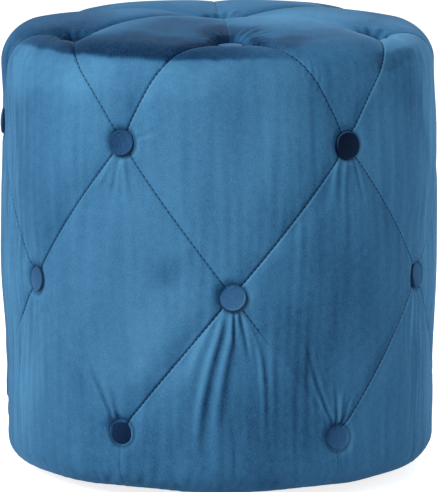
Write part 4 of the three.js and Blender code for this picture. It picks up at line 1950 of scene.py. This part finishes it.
@dataclass
class CoveredButton:
    """One velvet-covered button, tied with twine to a washer inside the frame."""

    finishes: Finishes
    node: str
    spot: Spot
    outline: BodyOutline
    seed: int
    look: ButtonLook
    dome: float = 5.6
    sides: int = 48
    tube_sides: int = 12
    pleats: int = 23
    face: float = 0.87
    pressed: float = 0.25
    glint_at: float = 0.85
    glint_width: float = 0.045
    step_at: float = 0.875
    twine_radius: float = 0.8
    washer_radius: float = 5.0
    washer_thickness: float = 1.5

    def build(self) -> Piece:
        """Makes and dresses the button.

        Returns:
            The finished piece, which stands for its solid.
        """
        draw = np.random.default_rng(self.seed)
        where, facing = self.outline.frame_at(np.array(self.spot.angle), np.array(self.spot.length))
        is_top = "_top_" in self.node
        facing = np.array([0.0, 0.0, 1.0]) if is_top else facing * [1, 1, 0]
        facing = facing / np.linalg.norm(facing)
        solid = np.array([tuple(vertex.co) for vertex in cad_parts[self.node].data.vertices]) / MM
        reach = solid @ facing
        apex = where + facing * (reach.max() - where @ facing - self.look.sink)
        tail = float(reach.min() - apex @ facing)
        leaning = self._lean(facing)
        parts = [
            self._cap(draw),
            self._tube(tail + self.washer_thickness, -self.dome, self.twine_radius),
            self._tube(tail, tail + self.washer_thickness, self.washer_radius),
        ]
        points, faces, marks = [], [], []
        for mark, (part, corners) in enumerate(parts):
            offset = len(points)
            axes = leaning if mark == 0 else self._axes(facing)
            points += list(part @ axes + apex)
            faces += [[corner + offset for corner in face] for face in corners]
            marks += [mark] * len(corners)
        piece = new_piece(f"covered_{self.node}", np.array(points), faces)
        piece.data.polygons.foreach_set("material_index", marks)
        dress(piece, self.finishes.button_velvet, self.finishes.thread, self.finishes.steel)
        # The dome's tone holds a painted highlight, and its crease value is painted shade
        tone, crease = self._shading(parts[0][0], len(piece.data.vertices), draw)
        paint(piece, "nap", tone)
        paint(piece, "crease", crease)
        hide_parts(self.node)
        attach(piece, "root")
        return piece

    @staticmethod
    def _axes(facing: Array) -> Array:
        """Rows of the three directions of a piece whose last axis faces outwards."""
        hint = np.array([0.0, 0.0, 1.0]) if abs(facing[2]) < 0.9 else np.array([0.0, 1.0, 0.0])
        across = np.cross(hint, facing)
        across /= np.linalg.norm(across)
        return np.stack([across, np.cross(facing, across), facing])

    def _lean(self, facing: Array) -> Array:
        """Axes of the cap, which the twine lets lean a little."""
        base = self._axes(facing)
        lean = np.radians(self.look.lean)
        tipped = facing + lean[0] * base[0] + lean[1] * base[1]
        return self._axes(tipped / np.linalg.norm(tipped))

    def _cap(self, draw: np.random.Generator) -> tuple[Array, list[list[int]]]:
        """The covered dome, gathered under its edge. Its apex is at 0 and it lies below."""
        face = self.face
        shares = (0.08, 0.2, 0.35, 0.5, 0.64, 0.76, 0.86, 0.93)
        profile = [(share * face, -1.35 * share**2.2) for share in shares]
        profile += [(face, -1.2), (0.895, -1.5), (0.915, -2.0), (0.93, -2.7)]
        profile += [(0.95, -3.5), (1.0, -4.2), (0.99, -4.9), (0.93, -5.4), (0.8, -5.6)]
        turns = around(self.sides)
        phase = draw.uniform(0, 2 * math.pi)
        rings = []
        for share, height in profile:
            gather = smooth(np.array((share - 0.86) / 0.12)) * 0.16
            radius = self.look.radius * share + gather * np.cos(self.pleats * turns + phase)
            uneven = 0.12 * np.cos(2 * turns + phase) + 0.08 * np.cos(3 * turns - phase)
            flat = radius * np.cos(turns), radius * np.sin(turns)
            rings.append(np.stack([*flat, height + uneven * share], -1))
        points = np.concatenate([*rings, [[0, 0, 0.0]], [[0, 0, -self.dome]]])
        return points, closed_faces(len(profile), self.sides)

    def _tube(self, low: float, high: float, radius: float) -> tuple[Array, list[list[int]]]:
        """A capped tube along the button's axis."""
        sides = self.tube_sides
        turns = around(sides)
        circle = np.stack([radius * np.cos(turns), radius * np.sin(turns)], -1)
        points = np.concatenate(
            [np.column_stack([circle, np.full(sides, height)]) for height in (high, low)]
        )
        faces = ring_faces(2, sides)
        faces.append(list(range(sides)))
        faces.append(list(range(2 * sides - 1, sides - 1, -1)))
        return points, faces

    def _shading(
        self, cap: Array, count: int, draw: np.random.Generator
    ) -> tuple[Array, Array]:
        """Tone over the dome, where the pile was pressed one way, with a painted highlight inside its
        rim, and painted shade on the step at its edge.

        Args:
            cap: The dome's own points, which come first in the piece.
            count: How many points the whole piece has.
            draw: Source of the way in which the pile was pressed.

        Returns:
            The tone, with its painted highlight, and the painted shade of each point.
        """
        turn = draw.uniform(0, 2 * math.pi)
        tone, crease = np.zeros(count), np.zeros(count)
        lean = cap[:, 0] * math.cos(turn) + cap[:, 1] * math.sin(turn)
        edge = np.hypot(cap[:, 0], cap[:, 1]) / self.look.radius
        # Painted highlight: a bright arc just inside the rim, on the side that the glint angle gives
        turn = math.radians(self.look.glint)
        lit = smooth((cap[:, 0] * math.cos(turn) + cap[:, 1] * math.sin(turn)) / self.look.radius)
        glow = self.look.glow * lit * bell(edge - self.glint_at, self.glint_width)
        tone[: len(cap)] = self.look.tone + self.pressed * lean / self.look.radius + glow
        # Painted shade on the step and the wall under the face
        below = smooth((-1.0 - cap[:, 2]) / 0.6)
        crease[: len(cap)] = smooth((edge - self.step_at) / 0.03) * below
        return tone, crease


def ring_faces(rings: int, sides: int) -> list[list[int]]:
    """Four-sided faces between rings of points, facing outwards when rings run down the axis."""
    faces = []
    for ring in range(rings - 1):
        for i in range(sides):
            after = (i + 1) % sides
            low, high = ring * sides, (ring + 1) * sides
            faces.append([low + i, high + i, high + after, low + after])
    return faces


def closed_faces(rings: int, sides: int) -> list[list[int]]:
    """Faces of rings closed by two more points, the first before them and the second after."""
    faces = ring_faces(rings, sides)
    before, last = rings * sides, (rings - 1) * sides
    for i in range(sides):
        after = (i + 1) % sides
        faces += [[before, i, after], [before + 1, last + after, last + i]]
    return faces


def around(sides: int) -> Array:
    """Even turns in radians, once round."""
    return np.arange(sides) * 2 * math.pi / sides


# Underside


@dataclass
class DustCover:
    """Black cloth stapled over the hem, its edge folded under."""

    finishes: Finishes
    radius: float = 158.0
    level: float = 6.3
    fold_width: float = 11.0
    faces: tuple[float, float] = (0.35, 0.95)
    most_puff: float = 0.25
    sides: int = 144
    staple_pitch: float = 24.0
    staple_set_in: float = 5.0
    staple_length: float = 9.5
    staple_leg: float = 2.5
    staple_skew: float = 0.22
    wire: float = 0.55

    def build(self) -> list[Piece]:
        """Makes the cloth and its staples.

        Returns:
            The finished pieces.
        """
        return [self._cloth(), self._staples()]

    def _cloth(self) -> Piece:
        """The cloth, two layers thick at its edge."""
        turns = around(self.sides)
        inner = self.radius - self.fold_width
        low, high = self.faces
        rings = [(8.0, low), *((radius, low) for radius in np.linspace(20, inner - 1.5, 16))]
        rings += [(inner - 0.4, 0.3), (inner, 0.05), (inner + 1.2, 0.0), (self.radius - 1.0, 0.0)]
        rings += [(self.radius, 0.3), (self.radius, 0.7), (self.radius - 1.0, high)]
        rings += [(radius, high) for radius in np.linspace(inner, 20, 8)] + [(8.0, high)]
        points = []
        for radius, rise in rings:
            where = np.stack([radius * np.sin(turns), radius * np.cos(turns), 0 * turns], -1)
            puff = 0.18 * (ripple(where, 38, 61) + 0.6 * ripple(where, 15, 63))
            loose = puff * (0.35 if rise > 0.9 else 1.0) * smooth(np.array((self.radius - radius) / 12))
            where[:, 2] = self.level + rise + np.clip(loose, -self.most_puff, self.most_puff)
            points.append(where)
        points = np.concatenate([*points, [[0, 0, self.level + low]], [[0, 0, self.level + high]]])
        piece = new_piece("dust_cloth", points, closed_faces(len(rings), self.sides))
        join_up(piece)
        dress(piece, self.finishes.dust_cloth)
        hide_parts("dust_cover")
        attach(piece, "root")
        return piece

    def _staples(self) -> Piece:
        """Staples round the folded edge."""
        radius = self.radius - self.staple_set_in
        turns = np.linspace(0, 2 * math.pi, 181)
        level = self.level - 0.05
        points = np.stack([radius * np.sin(turns), radius * np.cos(turns), 0 * turns + level], -1)
        normals = np.tile([0.0, 0.0, -1.0], (len(turns), 1))
        piece = line_piece("dust_cover_staples", [(points, normals)])
        rig = Rig("staples round the edge")
        pitch = rig.size("Pitch", self.staple_pitch * MM)
        wire = rig.size("Wire", self.wire * MM)
        seed = rig.size("Seed", 5, "NodeSocketInt")
        leg = self.staple_leg * MM
        bow = rig.node(
            "GeometryNodeCurvePrimitiveQuadrilateral",
            {"mode": "RECTANGLE"},
            {"Width": self.staple_length * MM, "Height": leg},
        )
        upright = rig.node(
            "GeometryNodeTransform",
            {},
            {
                "Geometry": rig.swept(bow, wire, False),
                "Translation": (0, 0, -leg / 2),
                "Rotation": (math.pi / 2, 0, 0),
            },
        )
        inputs = {2: -self.staple_skew, 3: self.staple_skew, "Seed": seed}
        skew = rig.node("FunctionNodeRandomValue", {"data_type": "FLOAT"}, inputs, 1)
        inputs = {"Axis": (0, 0, 1), "Angle": skew}
        inputs = {
            "Rotation": rig.upright(),
            "Rotate By": rig.node("FunctionNodeAxisAngleToRotation", {}, inputs),
        }
        turned = rig.node("FunctionNodeRotateRotation", {"rotation_space": "LOCAL"}, inputs)
        rig.finish(rig.points_along(pitch), upright, turned, self.finishes.steel)
        rig.apply(piece)
        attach(piece, "root")
        return piece


@dataclass
class Glide:
    """A nylon glide with the head of its nail sunk in its face."""

    finishes: Finishes
    number: int
    radius: float = 12.5
    height: float = 6.0
    recess_radius: float = 3.7
    recess_depth: float = 2.4
    head_radius: float = 3.2
    head_bottom: float = 1.2
    head_thickness: float = 1.0
    sides: int = 40

    def build(self) -> list[Piece]:
        """Makes the glide and its nail.

        Returns:
            The finished pieces.
        """
        low, high = (np.array(corner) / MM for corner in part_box(f"glide_{self.number}"))
        middle = (low + high) / 2
        hole, edge = self.recess_radius, self.radius
        glide = self._turned(
            f"nylon_glide_{self.number}",
            middle,
            [
                (hole - 2.2, self.recess_depth),
                (hole, self.recess_depth),
                (hole, 0.35),
                (hole + 0.35, 0.05),
                (edge - 2.6, 0.0),
                (edge - 1.3, 0.25),
                (edge - 0.45, 0.8),
                (edge - 0.08, 1.7),
                (edge, 2.6),
                (edge, self.height - 0.3),
                (edge - 0.3, self.height),
                (hole - 2.2, self.height),
            ],
            closed=True,
        )
        dress(glide, self.finishes.nylon)
        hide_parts(f"glide_{self.number}")
        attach(glide, "root")
        top = self.head_bottom + self.head_thickness
        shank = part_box(f"glide_nail_{self.number}")[1][2] / MM
        nail = self._turned(
            f"glide_nail_head_{self.number}",
            middle,
            [
                (0.0, self.head_bottom),
                (self.head_radius * 0.55, self.head_bottom + 0.06),
                (self.head_radius * 0.85, self.head_bottom + 0.22),
                (self.head_radius, self.head_bottom + 0.55),
                (self.head_radius, top),
                (1.2, top),
                (1.2, shank - 5.0),
                (0.0, shank),
            ],
        )
        dress(nail, self.finishes.steel)
        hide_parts(f"glide_nail_{self.number}")
        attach(nail, "root")
        return [glide, nail]

    def _turned(
        self, name: str, middle: Array, profile: list[tuple[float, float]], closed: bool = False
    ) -> Piece:
        """A piece turned about an upright axis.

        Args:
            name: The piece's name.
            middle: A point of the axis.
            profile: Radii and heights.
            closed: Whether the profile joins up with its start.

        Returns:
            The new object.
        """
        turns = around(self.sides)
        rings = profile + profile[:1] if closed else profile
        points = []
        for radius, height in rings:
            across = middle[0] + radius * np.sin(turns), middle[1] + radius * np.cos(turns)
            points.append(np.stack([*across, np.full(self.sides, height)], -1))
        piece = new_piece(name, np.concatenate(points), ring_faces(len(rings), self.sides))
        join_up(piece)
        return piece


# Frame that stays inside


@dataclass
class InnerFrame:
    """The boards, posts, skin, foam and screws, which keep their solids."""

    finishes: Finishes

    def dress(self) -> int:
        """Gives each remaining solid its finish.

        Returns:
            How many solids were dressed.
        """
        looks = self.finishes
        rules = {
            "side_foam": looks.foam,
            "top_foam": looks.foam,
            "side_skin": looks.hardboard,
            "top_board": looks.plywood,
            "base_board": looks.plywood,
            "post_": looks.pine,
            "top_screw_": looks.steel,
            "base_screw_": looks.steel,
        }
        count = 0
        for name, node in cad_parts.items():
            for start, material in rules.items():
                if name.startswith(start):
                    dress(node, material)
                    count += 1
        return count


# Studio


@dataclass
class Studio:
    """Pale floor, soft lamps and the camera of the picture."""

    picture: tuple[int, int] = (440, 492)
    focal_pixels: float = 4204.0
    distance: float = 3805.0
    camera_height: float = 823.1
    pitch: float = 9.304
    sensor: float = 36.0

    def build(self) -> None:
        """Sets up everything round the tuffet."""
        self._camera()
        self._floor()
        self._world()
        self._lamp("key", (-2.2, -1.7, 1.9), 1.3, 52)
        self._lamp("fill", (2.2, -1.9, 1.1), 1.8, 10)
        self._lamp("back", (0.7, 2.0, 1.9), 1.6, 22)
        view = bpy.context.scene.view_settings
        view.view_transform = "Standard"

    def _camera(self) -> None:
        """The camera, at the picture's angle."""
        data = bpy.data.cameras.new("camera")
        data.sensor_width = self.sensor
        data.lens = self.sensor * self.focal_pixels / max(self.picture)
        data.clip_end = 20
        camera = show("camera", data)
        camera.location = (0, -self.distance * MM, self.camera_height * MM)
        camera.rotation_euler = (math.radians(90 - self.pitch), 0, 0)
        bpy.context.scene.camera = camera

    def _floor(self) -> None:
        """A wide pale floor that keeps the tuffet's shadow."""
        mesh = bpy.data.meshes.new("floor")
        mesh.from_pydata([(-9, -9, 0), (9, -9, 0), (9, 9, 0), (-9, 9, 0)], [], [(0, 1, 2, 3)])
        floor = show("floor", mesh)
        bench = Bench("pale floor")
        seen = self._seen(bench)
        speckle = bench.noise(30.0, detail=2.0)
        colour = bench.ramp(speckle, [(0.0, (0.80, 0.80, 0.80)), (1.0, (0.84, 0.84, 0.84))])
        plain = bench.node("ShaderNodeBsdfPrincipled", {}, {"Base Color": colour, "Roughness": 0.9})
        glow = bench.node(
            "ShaderNodeEmission", {}, {"Color": (1, 1, 1, 1), "Strength": 0.8 * seen}
        )
        both = bench.node("ShaderNodeAddShader", {}, {0: plain, 1: glow})
        bench.node_output(both)
        mesh.materials.append(bench.material)

    @staticmethod
    def _seen(bench: Bench) -> Wire:
        """1 for rays that reach the eye straight, by a mirror or through glass."""
        parts = [
            bench.node("ShaderNodeLightPath", output=name)
            for name in ("Is Camera Ray", "Is Glossy Ray", "Is Transmission Ray")
        ]
        total = parts[0] + parts[1] + parts[2]
        return bench.node("ShaderNodeMath", {"operation": "MINIMUM"}, {0: total, 1: 1.0})

    def _world(self) -> None:
        """White behind the tuffet and a soft, even light all round."""
        world = bpy.data.worlds.new("studio")
        world.use_nodes = True
        nodes = Nodes(world.node_tree)
        seen = nodes.add("ShaderNodeLightPath").outputs["Is Camera Ray"]
        inputs = {"Color": (0.93, 0.97, 1.0, 1.0), "Strength": 0.45}
        soft = nodes.add("ShaderNodeBackground", {}, inputs).outputs[0]
        inputs = {"Color": (1, 1, 1, 1), "Strength": 1.0}
        white = nodes.add("ShaderNodeBackground", {}, inputs).outputs[0]
        mix = nodes.add("ShaderNodeMixShader", {}, {"Fac": seen, 1: soft, 2: white}).outputs[0]
        nodes.add("ShaderNodeOutputWorld", {}, {"Surface": mix})
        bpy.context.scene.world = world

    @staticmethod
    def _lamp(name: str, place: tuple[float, float, float], size: float, power: float) -> None:
        """A soft square lamp that looks at the tuffet."""
        data = bpy.data.lights.new(name, "AREA")
        data.shape = "SQUARE"
        data.size = size
        data.energy = power
        lamp = show(name, data)
        lamp.location = place
        aim = Vector((0, 0, 0.2)) - Vector(place)
        lamp.rotation_euler = aim.to_track_quat("-Z", "Y").to_euler()


def main() -> None:
    """Builds the tuffet piece by piece."""
    logging.basicConfig(level=logging.INFO, format="%(name)s: %(message)s")
    finishes = Finishes()
    tufting = Tufting()
    cover = VelvetCover(finishes, tufting)
    made = cover.build()
    log.info("cover: %d faces", len(made.data.polygons))
    stitches = Stitching(finishes).build(cover)
    log.info("stitches: %d faces", len(stitches.data.polygons))
    Wadding(finishes, tufting).build()
    for seed, (node, spot) in enumerate(tufting.plan.buttons().items()):
        look = ButtonLook.of(node, seed)
        CoveredButton(finishes, node, spot, tufting.outline, seed, look).build()
    log.info("buttons: %d", len(tufting.plan.buttons()))
    DustCover(finishes).build()
    for number in range(1, 5):
        Glide(finishes, number).build()
    log.info("inner frame: %d solids dressed", InnerFrame(finishes).dress())
    Studio().build()


if __name__ == "__main__":
    main()
